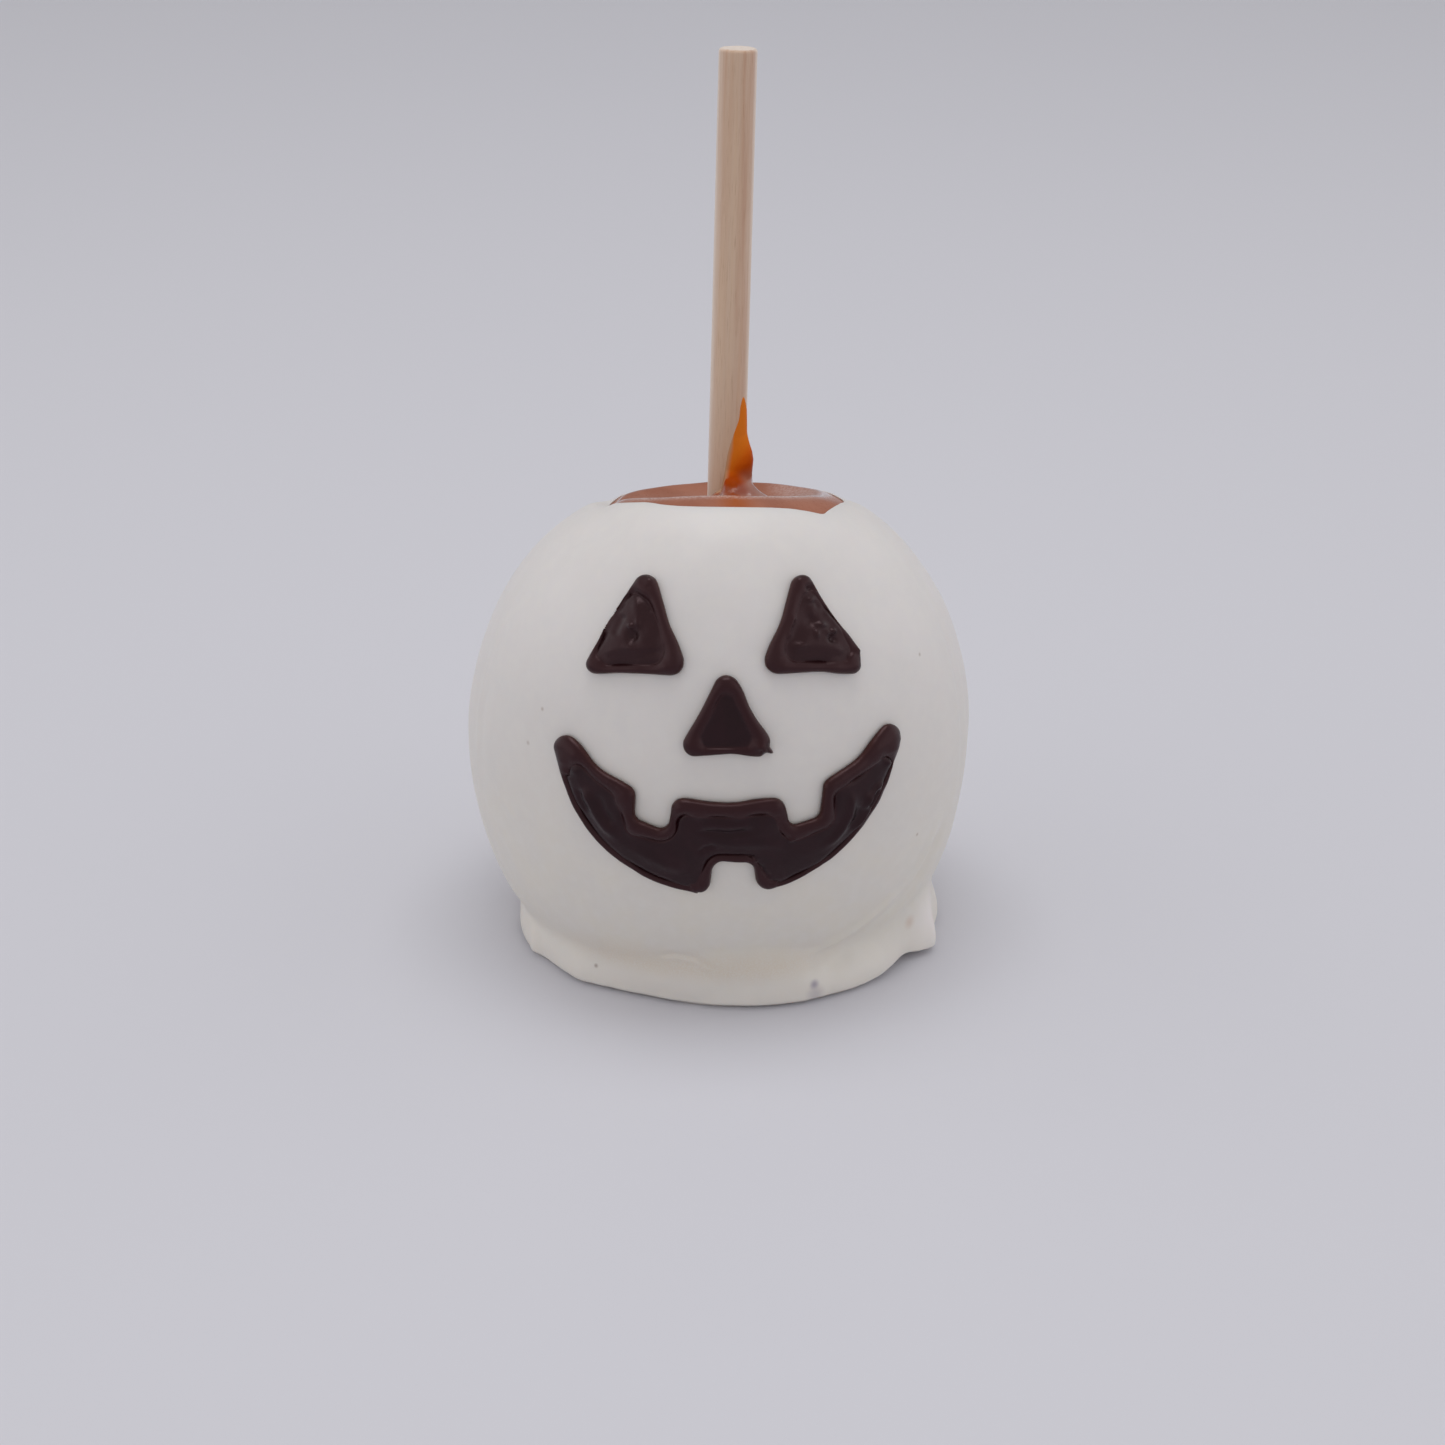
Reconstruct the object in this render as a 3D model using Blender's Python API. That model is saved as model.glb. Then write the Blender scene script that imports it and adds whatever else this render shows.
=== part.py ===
"""A caramel apple on a stick, with a piped jack-o'-lantern face.

The apple was dipped in caramel up to its stem bowl, then in white chocolate to
just short of the bowl, and set down while the chocolate was still soft: a foot
of it spread round the base. A caramel drip climbs the stick, where the apple
hung upside down for a moment. Two eyes, a nose and a mouth are piped on the
front as ropes of dark chocolate, with blobs where the rope turned a corner,
and then filled in.

The frame: origin on the ground under the apple's axis, +Z up, the face at -Y.
"""

import math

import bpy
import numpy as np
from mathutils import Vector
from mathutils.geometry import delaunay_2d_cdt

MM = 0.001
TINY = 1e-9

# ---------------------------------------------------------------- dimensions
# The coated apple: a turned form, squarer towards the shoulders than a ball.
WIDEST_RADIUS = 44.2 * MM
EQUATOR_HEIGHT = 38.6 * MM
CREST_RADIUS = 17.6 * MM
CREST_RISE = 42.45 * MM
SHOULDER_POWER = 1.75
BELOW_DEPTH = 52.5 * MM
BELOW_POWER = 2.25
CREST_HEIGHT = EQUATOR_HEIGHT + CREST_RISE

# How it is uneven: a high shoulder in front, a saddle at the sides, a base
# that sits back of the axis.
BACK_SLOPE = 0.284
SIDE_SLOPE = 0.021
SADDLE = 0.62 * MM
SADDLE_POWER = 6
BASE_SET_BACK = 4.0 * MM
BASE_SET_LEFT = 0.28 * MM

# The white chocolate coat
COAT_DEPTH = 2.3 * MM
COAT_FLOOR = 2.6 * MM
LIP_STEP = 0.45 * MM
LIP_FADE = math.radians(20)
LIP_ROUNDING = math.radians(1.2)
LIP_TOP_SHARE = 0.75
OPENING_RADIUS = 21.6 * MM
OPENING_WAVES = ((-172, -2.5, 30), (-140, -1.4, 20), (-78, 1.1, 34), (-47, 2.4, 10), (-12, -0.7, 25),
                 (110, 0.9, 34))

# Its foot, where the chocolate pooled
FOOT_CENTRE = (1.4 * MM, 2.2 * MM)
FOOT_RADIUS = 37.3 * MM
FOOT_WAVES = ((-158, 1.15, 14), (-136, 0.6, 9), (-112, -1.0, 15), (-76, 0.4, 8), (-50, 0.8, 12),
              (-36, -0.3, 6), (-25, 1.9, 6), (-4, 1.0, 18), (48, -0.5, 20), (96, 0.8, 18),
              (142, -0.6, 16))
FOOT_RISE = 8.3 * MM
FOOT_RISE_WAVES = ((-170, -1.2, 30), (-8, 1.2, 20), (75, 0.9, 30))
FOOT_BEND_SHARE = 0.35
FOOT_CREST_SHARE = 0.55
FOOT_BULGE = 0.3 * MM
FOOT_EDGE = 0.9 * MM
FOOT_LIFT = 1.1 * MM
FOOT_LIFT_WAVE = (-35, 1.0, 10)
FOOT_TUCK = 4.5 * MM

# The caramel under the coat and in the stem bowl
CARAMEL_GAP = 0.3 * MM
CARAMEL_LOW = 7.5 * MM
CARAMEL_BASE_RADIUS = 27.0 * MM
BOWL_DIP = 1.8 * MM
BOWL_DIP_START = 0.15
BOWL_FLOOR_RADIUS = 8.0 * MM

# The stick: a quarter inch dowel, 140 mm long, and its bore in the apple
STICK_DIAMETER = 6.35 * MM
STICK_LENGTH = 140.0 * MM
STICK_BEVEL = 0.35 * MM
STICK_TOP = 155.8 * MM
STICK_AT_BOWL = (1.1 * MM, 0.0)
STICK_LEAN_BACK = math.radians(4.0)
STICK_LEAN_RIGHT = math.radians(1.5)
STICK_GAP = 0.3 * MM
BORE_MIDDLE = 45.0 * MM
BORE_BOTTOM = STICK_TOP - STICK_LENGTH - 2 * STICK_GAP

# The caramel round the stick: a low collar, and the drip on its right
COLLAR_RISE = 1.7 * MM
DRIP_AZIMUTH = math.radians(-28)
DRIP_HALF_WIDTH = math.radians(56)
DRIP_SIDE_POWER = 2.5
DRIP_RISE = 17.3 * MM
DRIP_DEPTH = 0.9 * MM
DRIP_EDGE = 0.15 * MM

# The piped face, drawn on a plane tipped back like a viewer looking down on it.
# Each figure is a belt round blobs: x, y, radius and the sag of the rope that
# follows, in millimetres, anticlockwise. A radius below zero turns the rope
# the other way, round a tooth. The two large radii are the mouth's lower bows.
FACE_TILT = math.radians(24)
FACE_GAP = 0.3 * MM
LEFT_EYE = ((-20.2, 44.3, 1.6, 0.2), (-8.0, 44.6, 2.3, 0.4), (-11.9, 56.8, 1.9, -0.3))
RIGHT_EYE = ((9.6, 44.8, 2.3, 0.3), (21.6, 44.2, 1.5, 0.0), (22.2, 46.4, 0.8, 0.4),
             (13.4, 56.8, 1.9, 0.5))
NOSE = ((-4.0, 31.2, 2.0, 0.4), (6.4, 31.2, 2.0, 0.4), (1.2, 40.2, 2.2, 0.2))
MOUTH = ((-25.5, 30.8, 1.9, 0.0), (-0.3, 33.2, 27.0, 0.0), (-3.3, 8.5, 1.9, 0.0),
         (0.7, 9.9, -1.9, 0.0), (4.1, 10.0, -1.7, 0.0), (8.1, 9.1, 2.1, 0.0),
         (0.4, 35.2, 29.3, 0.0), (29.2, 32.2, 0.8, 0.0), (28.2, 32.9, 1.7, 0.9),
         (18.8, 24.0, 1.8, 0.0), (15.2, 20.3, -1.4, 0.0), (12.5, 19.3, -1.3, 0.0),
         (8.9, 20.4, 2.0, 0.6), (-6.0, 20.3, 2.0, 0.0), (-9.8, 18.9, -1.5, 0.0),
         (-12.3, 20.0, -1.6, 0.0), (-15.7, 22.7, 1.8, 0.9))
ROPE_HALF_WIDTH = 0.85 * MM
ROPE_HEIGHT = 1.5 * MM
ROPE_WAIST = 0.8 * MM
BLOB_SHARE = 0.62
WIDEST_BLOB = 1.35 * MM
SMALLEST_BOW = 5.0 * MM
TALLEST_BLOB = 1.25
FILL_HEIGHT = 1.25 * MM
FILL_START = 1.3
FILL_RAMP = 1.6
RIM_HEIGHT = 0.35 * MM
OUTLINE_STEP = 0.95 * MM
FILL_STEP = 2.2 * MM
ROPE_STEPS = (0.3, 1.0, 1.75, 2.3)

# Where the fill of an eye swells: x, y, height and radius in millimetres
LEFT_EYE_MOUND = (-12.6, 48.8, 0.9, 3.2)
RIGHT_EYE_MOUND = (15.4, 49.0, 0.9, 3.4)

# How finely the turned forms are divided
COLUMNS = 56
COLUMN_SQUEEZE = 0.35
SQUEEZE_AZIMUTH = math.radians(-50)
COAT_ROWS = 21
FOOT_ROWS = 6
CARAMEL_ROWS = 12
CREST_SHARES = (0.35, 0.7, 1.0)
BOWL_ROWS = 5
DRIP_ROWS = 8
STICK_SIDES = 28
SLOPE_STEP = 1e-4
NEWTON_STEP = 1e-5
NEWTON_ROUNDS = 30
NEWTON_REACH = 0.1


# ------------------------------------------------------------------- helpers
def waves(azimuth, bumps):
    """Sum of soft bumps round a circle: each has an azimuth and half-width in degrees and a height."""
    total = np.zeros_like(azimuth)
    for place, height, width in bumps:
        turn = (azimuth - math.radians(place) + math.pi) % math.tau - math.pi
        total += height * np.exp(-((turn / math.radians(width)) ** 2))
    return total


def smooth(amount):
    """Ease from 0 to 1 as the amount goes from 0 to 1."""
    t = np.clip(amount, 0.0, 1.0)
    return t * t * (3.0 - 2.0 * t)


def column_azimuths():
    """Azimuths of the mesh columns, closer together where the foot has its fine folds."""
    t = np.arange(COLUMNS) * math.tau / COLUMNS
    return t - COLUMN_SQUEEZE * np.sin(t - SQUEEZE_AZIMUTH)


def turned_mesh(name, rings):
    """Close a stack of rings, each a ring of points, with a point in the middle of each end."""
    rows, columns = rings.shape[:2]
    points = np.concatenate([rings.reshape(-1, 3), rings[0].mean(0)[None], rings[-1].mean(0)[None]])
    first_pole = rows * columns
    last_pole = first_pole + 1
    column = np.arange(columns)
    following = (column + 1) % columns
    faces = []
    for row in range(rows - 1):
        low = row * columns
        high = low + columns
        faces += np.stack([low + column, low + following, high + following, high + column], 1).tolist()
    last = (rows - 1) * columns
    faces += np.stack([np.full(columns, first_pole), following, column], 1).tolist()
    faces += np.stack([np.full(columns, last_pole), last + column, last + following], 1).tolist()
    mesh = bpy.data.meshes.new(name)
    mesh.from_pydata(points.tolist(), [], faces)
    return mesh


def make_object(name, mesh, material, parent, smooth_angle=math.radians(60)):
    """Put a mesh in the scene as a named, shaded object under the apple's empty."""
    mesh.validate()
    mesh.shade_smooth()
    mesh.set_sharp_from_angle(angle=smooth_angle)
    mesh.materials.append(material)
    piece = bpy.data.objects.new(name, mesh)
    bpy.context.scene.collection.objects.link(piece)
    piece.parent = parent
    return piece


def make_material(name, colour, roughness, metallic=0.0):
    """A plain Principled material."""
    material = bpy.data.materials.new(name)
    material.use_nodes = True
    shader = material.node_tree.nodes["Principled BSDF"]
    shader.inputs["Base Color"].default_value = (*colour, 1.0)
    shader.inputs["Roughness"].default_value = roughness
    shader.inputs["Metallic"].default_value = metallic
    return material


# ------------------------------------------------------------ the apple's form
def lean(radius, height, azimuth):
    """Turn an upright profile point into the uneven apple.

    The slices tilt more and more towards the crest, by the square of the
    height, and the lowest ones sit back of the axis.
    """
    share = np.clip(height / CREST_HEIGHT, 0.0, 1.2)
    x = radius * np.cos(azimuth)
    y = radius * np.sin(azimuth)
    inside = np.minimum(radius / CREST_RADIUS, 1.0)
    tilt = (SIDE_SLOPE * x - BACK_SLOPE * y) * share ** 2
    saddle = -SADDLE * np.cos(2 * azimuth) * share ** SADDLE_POWER * inside ** 2
    below = 1.0 - share
    return np.stack([x - BASE_SET_LEFT * below, y + BASE_SET_BACK * below ** 2, height + tilt + saddle], -1)


def skin(azimuth, latitude):
    """The apple's outside: two quarter superellipses that meet at the equator."""
    cosine = np.maximum(np.cos(latitude), TINY)
    sine = np.maximum(np.sin(np.abs(latitude)), TINY)
    upper_radius = CREST_RADIUS + (WIDEST_RADIUS - CREST_RADIUS) * cosine ** (2 / SHOULDER_POWER)
    lower_radius = WIDEST_RADIUS * cosine ** (2 / BELOW_POWER)
    upper_height = CREST_RISE * sine ** (2 / SHOULDER_POWER)
    lower_height = -BELOW_DEPTH * sine ** (2 / BELOW_POWER)
    above = latitude >= 0
    radius = np.where(above, upper_radius, lower_radius)
    height = EQUATOR_HEIGHT + np.where(above, upper_height, lower_height)
    return lean(radius, height, azimuth)


def skin_normal(azimuth, latitude):
    """Outward direction of the skin, from its slopes along both angles."""
    here = skin(azimuth, latitude)
    along = skin(azimuth + SLOPE_STEP, latitude) - here
    normal = np.cross(along, skin(azimuth, latitude + SLOPE_STEP) - here)
    return normal / np.linalg.norm(normal, axis=-1, keepdims=True)


def latitude_of_height(height):
    """Latitude below the equator at which the upright profile has this height."""
    fall = (EQUATOR_HEIGHT - height) / BELOW_DEPTH
    return -np.arcsin(fall ** (BELOW_POWER / 2))


def opening_latitude(azimuth):
    """Latitude of the coat's upper edge, from its wavy radius round the stem bowl."""
    radius = OPENING_RADIUS + waves(azimuth, OPENING_WAVES) * MM
    share = (radius - CREST_RADIUS) / (WIDEST_RADIUS - CREST_RADIUS)
    return np.arccos(share ** (SHOULDER_POWER / 2))


def groove_latitude(azimuth):
    """Latitude at which the coat runs into its foot."""
    return latitude_of_height(FOOT_RISE + waves(azimuth, FOOT_RISE_WAVES) * MM)


# ----------------------------------------------------------- white chocolate
def under_coat(azimuth, latitude, clearance):
    """The caramel's surface under the coat, or the coat's own inside at a clearance above it."""
    below_lip = opening_latitude(azimuth) - latitude
    depth = COAT_DEPTH * smooth(below_lip / LIP_FADE) - clearance
    return skin(azimuth, latitude) - skin_normal(azimuth, latitude) * depth[..., None]


def foot_rings(azimuth):
    """The foot: a curve from the groove, out over the pooled chocolate and down to the ground."""
    groove = skin(azimuth, groove_latitude(azimuth))
    fall = groove - skin(azimuth, groove_latitude(azimuth) + SLOPE_STEP)
    fall /= np.linalg.norm(fall, axis=-1, keepdims=True)
    outward = np.stack([np.cos(azimuth), np.sin(azimuth), np.zeros(COLUMNS)], -1)
    centre = np.array([*FOOT_CENTRE, 0.0])
    edge = centre + outward * (FOOT_RADIUS + waves(azimuth, FOOT_WAVES) * MM)[:, None]
    lift = FOOT_LIFT * waves(azimuth, (FOOT_LIFT_WAVE,))
    up = np.array([0.0, 0.0, 1.0])
    bend = groove + fall * FOOT_BEND_SHARE * FOOT_RISE
    crest = edge + outward * FOOT_BULGE + up * (FOOT_CREST_SHARE * FOOT_RISE + lift[:, None])
    rim = edge + up * (FOOT_EDGE + lift[:, None])
    rings = []
    for t in np.linspace(0.0, 1.0, FOOT_ROWS + 1):
        rings.append((1 - t) ** 3 * groove + 3 * t * (1 - t) ** 2 * bend
                     + 3 * t ** 2 * (1 - t) * crest + t ** 3 * rim)
    tuck = FOOT_EDGE + FOOT_TUCK * lift / FOOT_LIFT
    rings.append(edge - outward * tuck[:, None])
    return rings


def coat_rings(azimuth):
    """All rings of the coat, from the middle of its underside, up its outside, and down its inside."""
    top = opening_latitude(azimuth)
    low = groove_latitude(azimuth)
    rings = foot_rings(azimuth)[::-1]
    for share in np.linspace(0.0, 1.0, COAT_ROWS)[1:]:
        latitude = low + (top - LIP_ROUNDING - low) * share
        proud = LIP_STEP * (1.0 - smooth((top - latitude) / LIP_FADE))
        rings.append(skin(azimuth, latitude) + skin_normal(azimuth, latitude) * proud[:, None])
    lip = skin(azimuth, top) + skin_normal(azimuth, top) * LIP_TOP_SHARE * LIP_STEP
    rings.append(lip)
    rings += side_rings(azimuth, CARAMEL_GAP)
    rings.append(base_ring(azimuth, CARAMEL_GAP))
    return np.stack(rings)


def side_rings(azimuth, clearance):
    """Rings of the boundary between caramel and coat, from the lip down."""
    top = opening_latitude(azimuth)
    low = latitude_of_height(np.full(COLUMNS, CARAMEL_LOW))
    return [under_coat(azimuth, top + (low - top) * share, clearance)
            for share in np.linspace(0.0, 1.0, CARAMEL_ROWS)]


def base_ring(azimuth, clearance):
    """The ring where that boundary turns flat under the apple."""
    ring = lean(np.full(COLUMNS, CARAMEL_BASE_RADIUS), np.full(COLUMNS, COAT_FLOOR), azimuth)
    ring[:, 2] = COAT_FLOOR - clearance
    return ring


# ------------------------------------------------------------------- caramel
def stick_axis():
    """A point on the stick's axis at the height of the bowl, and its direction."""
    direction = Vector((math.tan(STICK_LEAN_RIGHT), math.tan(STICK_LEAN_BACK), 1.0)).normalized()
    return Vector((*STICK_AT_BOWL, CREST_HEIGHT)), direction


def round_stick(azimuth, radius, height):
    """Points at a radius from the stick's axis and a height above the ground."""
    point, direction = stick_axis()
    along = (height - point.z) / direction.z
    centre = np.array(point) + np.array(direction) * along[:, None]
    outward = np.stack([np.cos(azimuth), np.sin(azimuth), np.zeros(COLUMNS)], -1)
    return centre + outward * radius[:, None]


def bowl_rings(azimuth):
    """The stem bowl: from the coat's edge over the crest and in towards the stick."""
    top = opening_latitude(azimuth)
    rings = [skin(azimuth, top + (math.pi / 2 - top) * share) for share in CREST_SHARES]
    to_stick = np.array([STICK_AT_BOWL[0], STICK_AT_BOWL[1], 0.0])
    for share in np.linspace(0.0, 1.0, BOWL_ROWS + 1)[1:]:
        radius = CREST_RADIUS + (BOWL_FLOOR_RADIUS - CREST_RADIUS) * share
        height = CREST_HEIGHT - BOWL_DIP * smooth(BOWL_DIP_START + (1.0 - BOWL_DIP_START) * share)
        ring = lean(np.full(COLUMNS, radius), np.full(COLUMNS, height), azimuth)
        rings.append(ring + to_stick * share)
    return rings


def drip_rings(azimuth, floor_ring):
    """The collar and drip: from the bowl's floor in to the stick and up along it."""
    turn = (azimuth - DRIP_AZIMUTH + math.pi) % math.tau - math.pi
    share_of_drip = np.exp(-np.abs(turn / DRIP_HALF_WIDTH) ** DRIP_SIDE_POWER)
    start_height = floor_ring[:, 2]
    start_radius = np.full(COLUMNS, BOWL_FLOOR_RADIUS)
    hole = STICK_DIAMETER / 2 + STICK_GAP
    top = CREST_HEIGHT - BOWL_DIP + COLLAR_RISE + DRIP_RISE * share_of_drip
    rings = []
    for t in np.linspace(0.0, 1.0, DRIP_ROWS + 1)[1:]:
        film = DRIP_EDGE + DRIP_DEPTH * share_of_drip * (1.0 - t ** 2) ** 1.5
        radius = hole + film + (start_radius - hole) * (1.0 - t) ** 3
        height = start_height + (top - start_height) * t ** (1.2 + 0.6 * share_of_drip)
        rings.append(round_stick(azimuth, radius, height))
    rings.append(round_stick(azimuth, np.full(COLUMNS, hole), top + 0.1 * MM))
    return rings


def caramel_rings(azimuth):
    """All rings of the caramel apple, from its base up its side, over the bowl and down its bore."""
    sides = [base_ring(azimuth, 0.0)] + side_rings(azimuth, 0.0)[::-1]
    bowl = bowl_rings(azimuth)
    drip = drip_rings(azimuth, bowl[-1])
    hole = np.full(COLUMNS, STICK_DIAMETER / 2 + STICK_GAP)
    bore = [round_stick(azimuth, hole, np.full(COLUMNS, height))
            for height in (CREST_HEIGHT - BOWL_DIP, BORE_MIDDLE, BORE_BOTTOM)]
    return np.stack(sides + bowl + drip + bore)


# ---------------------------------------------------------------- piped face
def belt(blobs):
    """Outline of a belt pulled round blobs, and its rope's half-width, blob and sag included.

    Between two blobs the belt runs along their common tangent, bent inwards
    by the sag times a squared sine; round a blob it follows an arc.
    """
    data = np.array(blobs) * MM
    centre, radius, sag = data[:, :2], data[:, 2], data[:, 3]
    to_next = np.roll(centre, -1, 0) - centre
    distance = np.hypot(to_next[:, 0], to_next[:, 1])
    turn_in = np.arcsin(np.clip((radius - np.roll(radius, -1)) / distance, -1.0, 1.0))
    heading = np.arctan2(to_next[:, 1], to_next[:, 0]) + turn_in
    blob_width = np.clip(BLOB_SHARE * np.abs(radius), ROPE_HALF_WIDTH, WIDEST_BLOB)
    blob_width[np.abs(radius) > SMALLEST_BOW] = ROPE_HALF_WIDTH
    points, widths = [], []
    for i in range(len(blobs)):
        following = (i + 1) % len(blobs)
        turn = (heading[i] - heading[i - 1] + math.pi) % math.tau - math.pi
        count = max(2, int(abs(turn * radius[i]) / OUTLINE_STEP) + 2)
        angle = heading[i - 1] - math.pi / 2 + np.linspace(0.0, 1.0, count)[:-1] * turn
        points.append(centre[i] + radius[i] * np.stack([np.cos(angle), np.sin(angle)], -1))
        widths.append(np.full(len(angle), blob_width[i]))
        side = np.array([math.cos(heading[i] - math.pi / 2), math.sin(heading[i] - math.pi / 2)])
        start = centre[i] + radius[i] * side
        end = centre[following] + radius[following] * side
        count = max(2, int(np.hypot(*(end - start)) / OUTLINE_STEP) + 1)
        t = np.linspace(0.0, 1.0, count)[:-1, None]
        points.append(start + (end - start) * t - side * sag[i] * np.sin(math.pi * t) ** 2)
        waist = np.sin(math.pi * t[:, 0]) ** 0.5
        ends = blob_width[i] + (blob_width[following] - blob_width[i]) * t[:, 0]
        widths.append(ends + (ROPE_HALF_WIDTH - ends) * waist)
    outline = np.concatenate(points)
    width = np.concatenate(widths)
    gap = np.hypot(*(np.roll(outline, -1, 0) - outline).T)
    keep = gap > 0.25 * OUTLINE_STEP
    return outline[keep], width[keep]


def distance_inside(points, outline, width):
    """How far each point lies inside the outline (below zero outside), and the rope there."""
    start = outline
    along = np.roll(outline, -1, 0) - start
    offset = points[:, None] - start[None]
    share = np.clip((offset * along).sum(-1) / (along ** 2).sum(-1), 0.0, 1.0)
    apart = np.linalg.norm(offset - share[..., None] * along, axis=-1)
    nearest = apart.argmin(1)
    end = start + along
    straddles = (start[None, :, 1] > points[:, None, 1]) != (end[None, :, 1] > points[:, None, 1])
    rise = np.where(np.abs(along[:, 1]) < TINY, TINY, along[:, 1])
    crossing = start[:, 0] + along[:, 0] * (points[:, None, 1] - start[:, 1]) / rise
    inside = (straddles & (points[:, None, 0] < crossing)).sum(1) % 2 == 1
    return np.where(inside, 1.0, -1.0) * apart.min(1), width[nearest]


def relief(inside, rope, mound):
    """Height of the piping: a round rope along the outline, then a crease, then the fill."""
    across = inside / rope
    round_share = np.sqrt(np.clip(1.0 - (across - 1.0) ** 2, 0.0, 1.0))
    rope_height = ROPE_HEIGHT * np.minimum(round_share * rope / ROPE_HALF_WIDTH, TALLEST_BLOB)
    fill_height = (FILL_HEIGHT + mound) * smooth((across - FILL_START) / FILL_RAMP)
    return np.maximum(np.maximum(rope_height, fill_height), RIM_HEIGHT)


def inner_points(outline, width, steps, lattice):
    """Points inside an outline: copies of it drawn in by each step, and a lattice in the middle."""
    ahead = np.roll(outline, -1, 0) - np.roll(outline, 1, 0)
    inward = np.stack([-ahead[:, 1], ahead[:, 0]], -1) / np.linalg.norm(ahead, axis=1)[:, None]
    found = []
    for step in steps:
        drawn = outline + inward * (step * width)[:, None]
        inside, rope = distance_inside(drawn, outline, width)
        found.append(drawn[inside > 0.9 * step * width])
    low, high = outline.min(0), outline.max(0)
    x, y = np.meshgrid(np.arange(low[0], high[0], lattice), np.arange(low[1], high[1], lattice))
    grid = np.stack([x.ravel(), y.ravel()], -1)
    inside, rope = distance_inside(grid, outline, width)
    reach = (steps[-1] if len(steps) else 0.0) * rope + 0.6 * lattice
    found.append(grid[inside > reach])
    return np.concatenate(found)


def on_skin(points):
    """Angles of the skin whose rope waist lies behind points of the face plane, by Newton's method."""
    tilt_up = np.array([0.0, math.sin(FACE_TILT), math.cos(FACE_TILT)])

    def seen(azimuth, latitude):
        place = skin(azimuth, latitude) + skin_normal(azimuth, latitude) * ROPE_WAIST
        return np.stack([place[:, 0], place @ tilt_up], -1)

    front = -np.sqrt(np.maximum(WIDEST_RADIUS ** 2 - points[:, 0] ** 2, 0.0))
    azimuth = np.arctan2(front, points[:, 0])
    latitude = points[:, 1] / WIDEST_RADIUS - FACE_TILT
    for _ in range(NEWTON_ROUNDS):
        here = seen(azimuth, latitude)
        by_azimuth = (seen(azimuth + NEWTON_STEP, latitude) - here) / NEWTON_STEP
        by_latitude = (seen(azimuth, latitude + NEWTON_STEP) - here) / NEWTON_STEP
        area = by_azimuth[:, 0] * by_latitude[:, 1] - by_azimuth[:, 1] * by_latitude[:, 0]
        miss = points - here
        turn = (miss[:, 0] * by_latitude[:, 1] - miss[:, 1] * by_latitude[:, 0]) / area
        climb = (by_azimuth[:, 0] * miss[:, 1] - by_azimuth[:, 1] * miss[:, 0]) / area
        azimuth = azimuth + np.clip(turn, -NEWTON_REACH, NEWTON_REACH)
        latitude = latitude + np.clip(climb, -NEWTON_REACH, NEWTON_REACH)
    return azimuth, latitude


def lay_on_coat(points, height):
    """Face-plane points raised by a height above the coat."""
    azimuth, latitude = on_skin(points)
    return skin(azimuth, latitude) + skin_normal(azimuth, latitude) * height[:, None]


def triangulate(outline, inner):
    """Triangles that fill an outline through inner points; the outline's own points come first."""
    count = len(outline)
    vertices = [Vector(point) for point in np.concatenate([outline, inner]) / MM]
    edges = [(i, (i + 1) % count) for i in range(count)]
    points, _, faces, _, _, _ = delaunay_2d_cdt(vertices, edges, [list(range(count))], 1, 1e-4)
    return np.array([point[:] for point in points]) * MM, [list(face) for face in faces]


def piped_mesh(name, blobs, mounds):
    """A closed piece of piping on the coat: relief on top, a smooth underside, a low wall between."""
    outline, width = belt(blobs)
    top, top_faces = triangulate(outline, inner_points(outline, width, ROPE_STEPS, FILL_STEP))
    low, low_faces = triangulate(outline, inner_points(outline, width, (), 1.6 * FILL_STEP))
    inside, rope = distance_inside(top, outline, width)
    mound = np.zeros(len(top))
    for x, y, height, radius in mounds:
        apart = np.hypot(top[:, 0] - x * MM, top[:, 1] - y * MM)
        mound += height * MM * np.exp(-((apart / (radius * MM)) ** 2))
    height = relief(inside, rope, mound)
    count = len(outline)
    height[:count] = RIM_HEIGHT
    upper = lay_on_coat(top, height + FACE_GAP)
    lower = lay_on_coat(low, np.full(len(low), FACE_GAP))
    base = len(top)
    faces = top_faces + [[base + i for i in reversed(face)] for face in low_faces]
    faces += [[i, base + i, base + (i + 1) % count, (i + 1) % count] for i in range(count)]
    mesh = bpy.data.meshes.new(name)
    mesh.from_pydata(np.concatenate([upper, lower]).tolist(), [], faces)
    return mesh


# --------------------------------------------------------------------- pieces
def make_stick(parent, material):
    """The dowel, bevelled at both ends, placed and turned along its axis."""
    bpy.ops.mesh.primitive_cylinder_add(vertices=STICK_SIDES, radius=STICK_DIAMETER / 2, depth=STICK_LENGTH)
    stick = bpy.context.object
    stick.name = "stick"
    stick.data.name = "stick"
    bevel = stick.modifiers.new("bevel", "BEVEL")
    bevel.width = STICK_BEVEL
    bevel.segments = 2
    bevel.limit_method = "ANGLE"
    bevel.angle_limit = math.radians(40)
    stick.data.shade_smooth()
    stick.data.set_sharp_from_angle(angle=math.radians(30))
    stick.data.materials.append(material)
    point, direction = stick_axis()
    end = point + direction * (STICK_TOP - point.z) / direction.z
    stick.location = end - direction * STICK_LENGTH / 2
    stick.rotation_mode = "QUATERNION"
    stick.rotation_quaternion = direction.to_track_quat("Z", "Y")
    stick.parent = parent
    return stick


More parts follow.
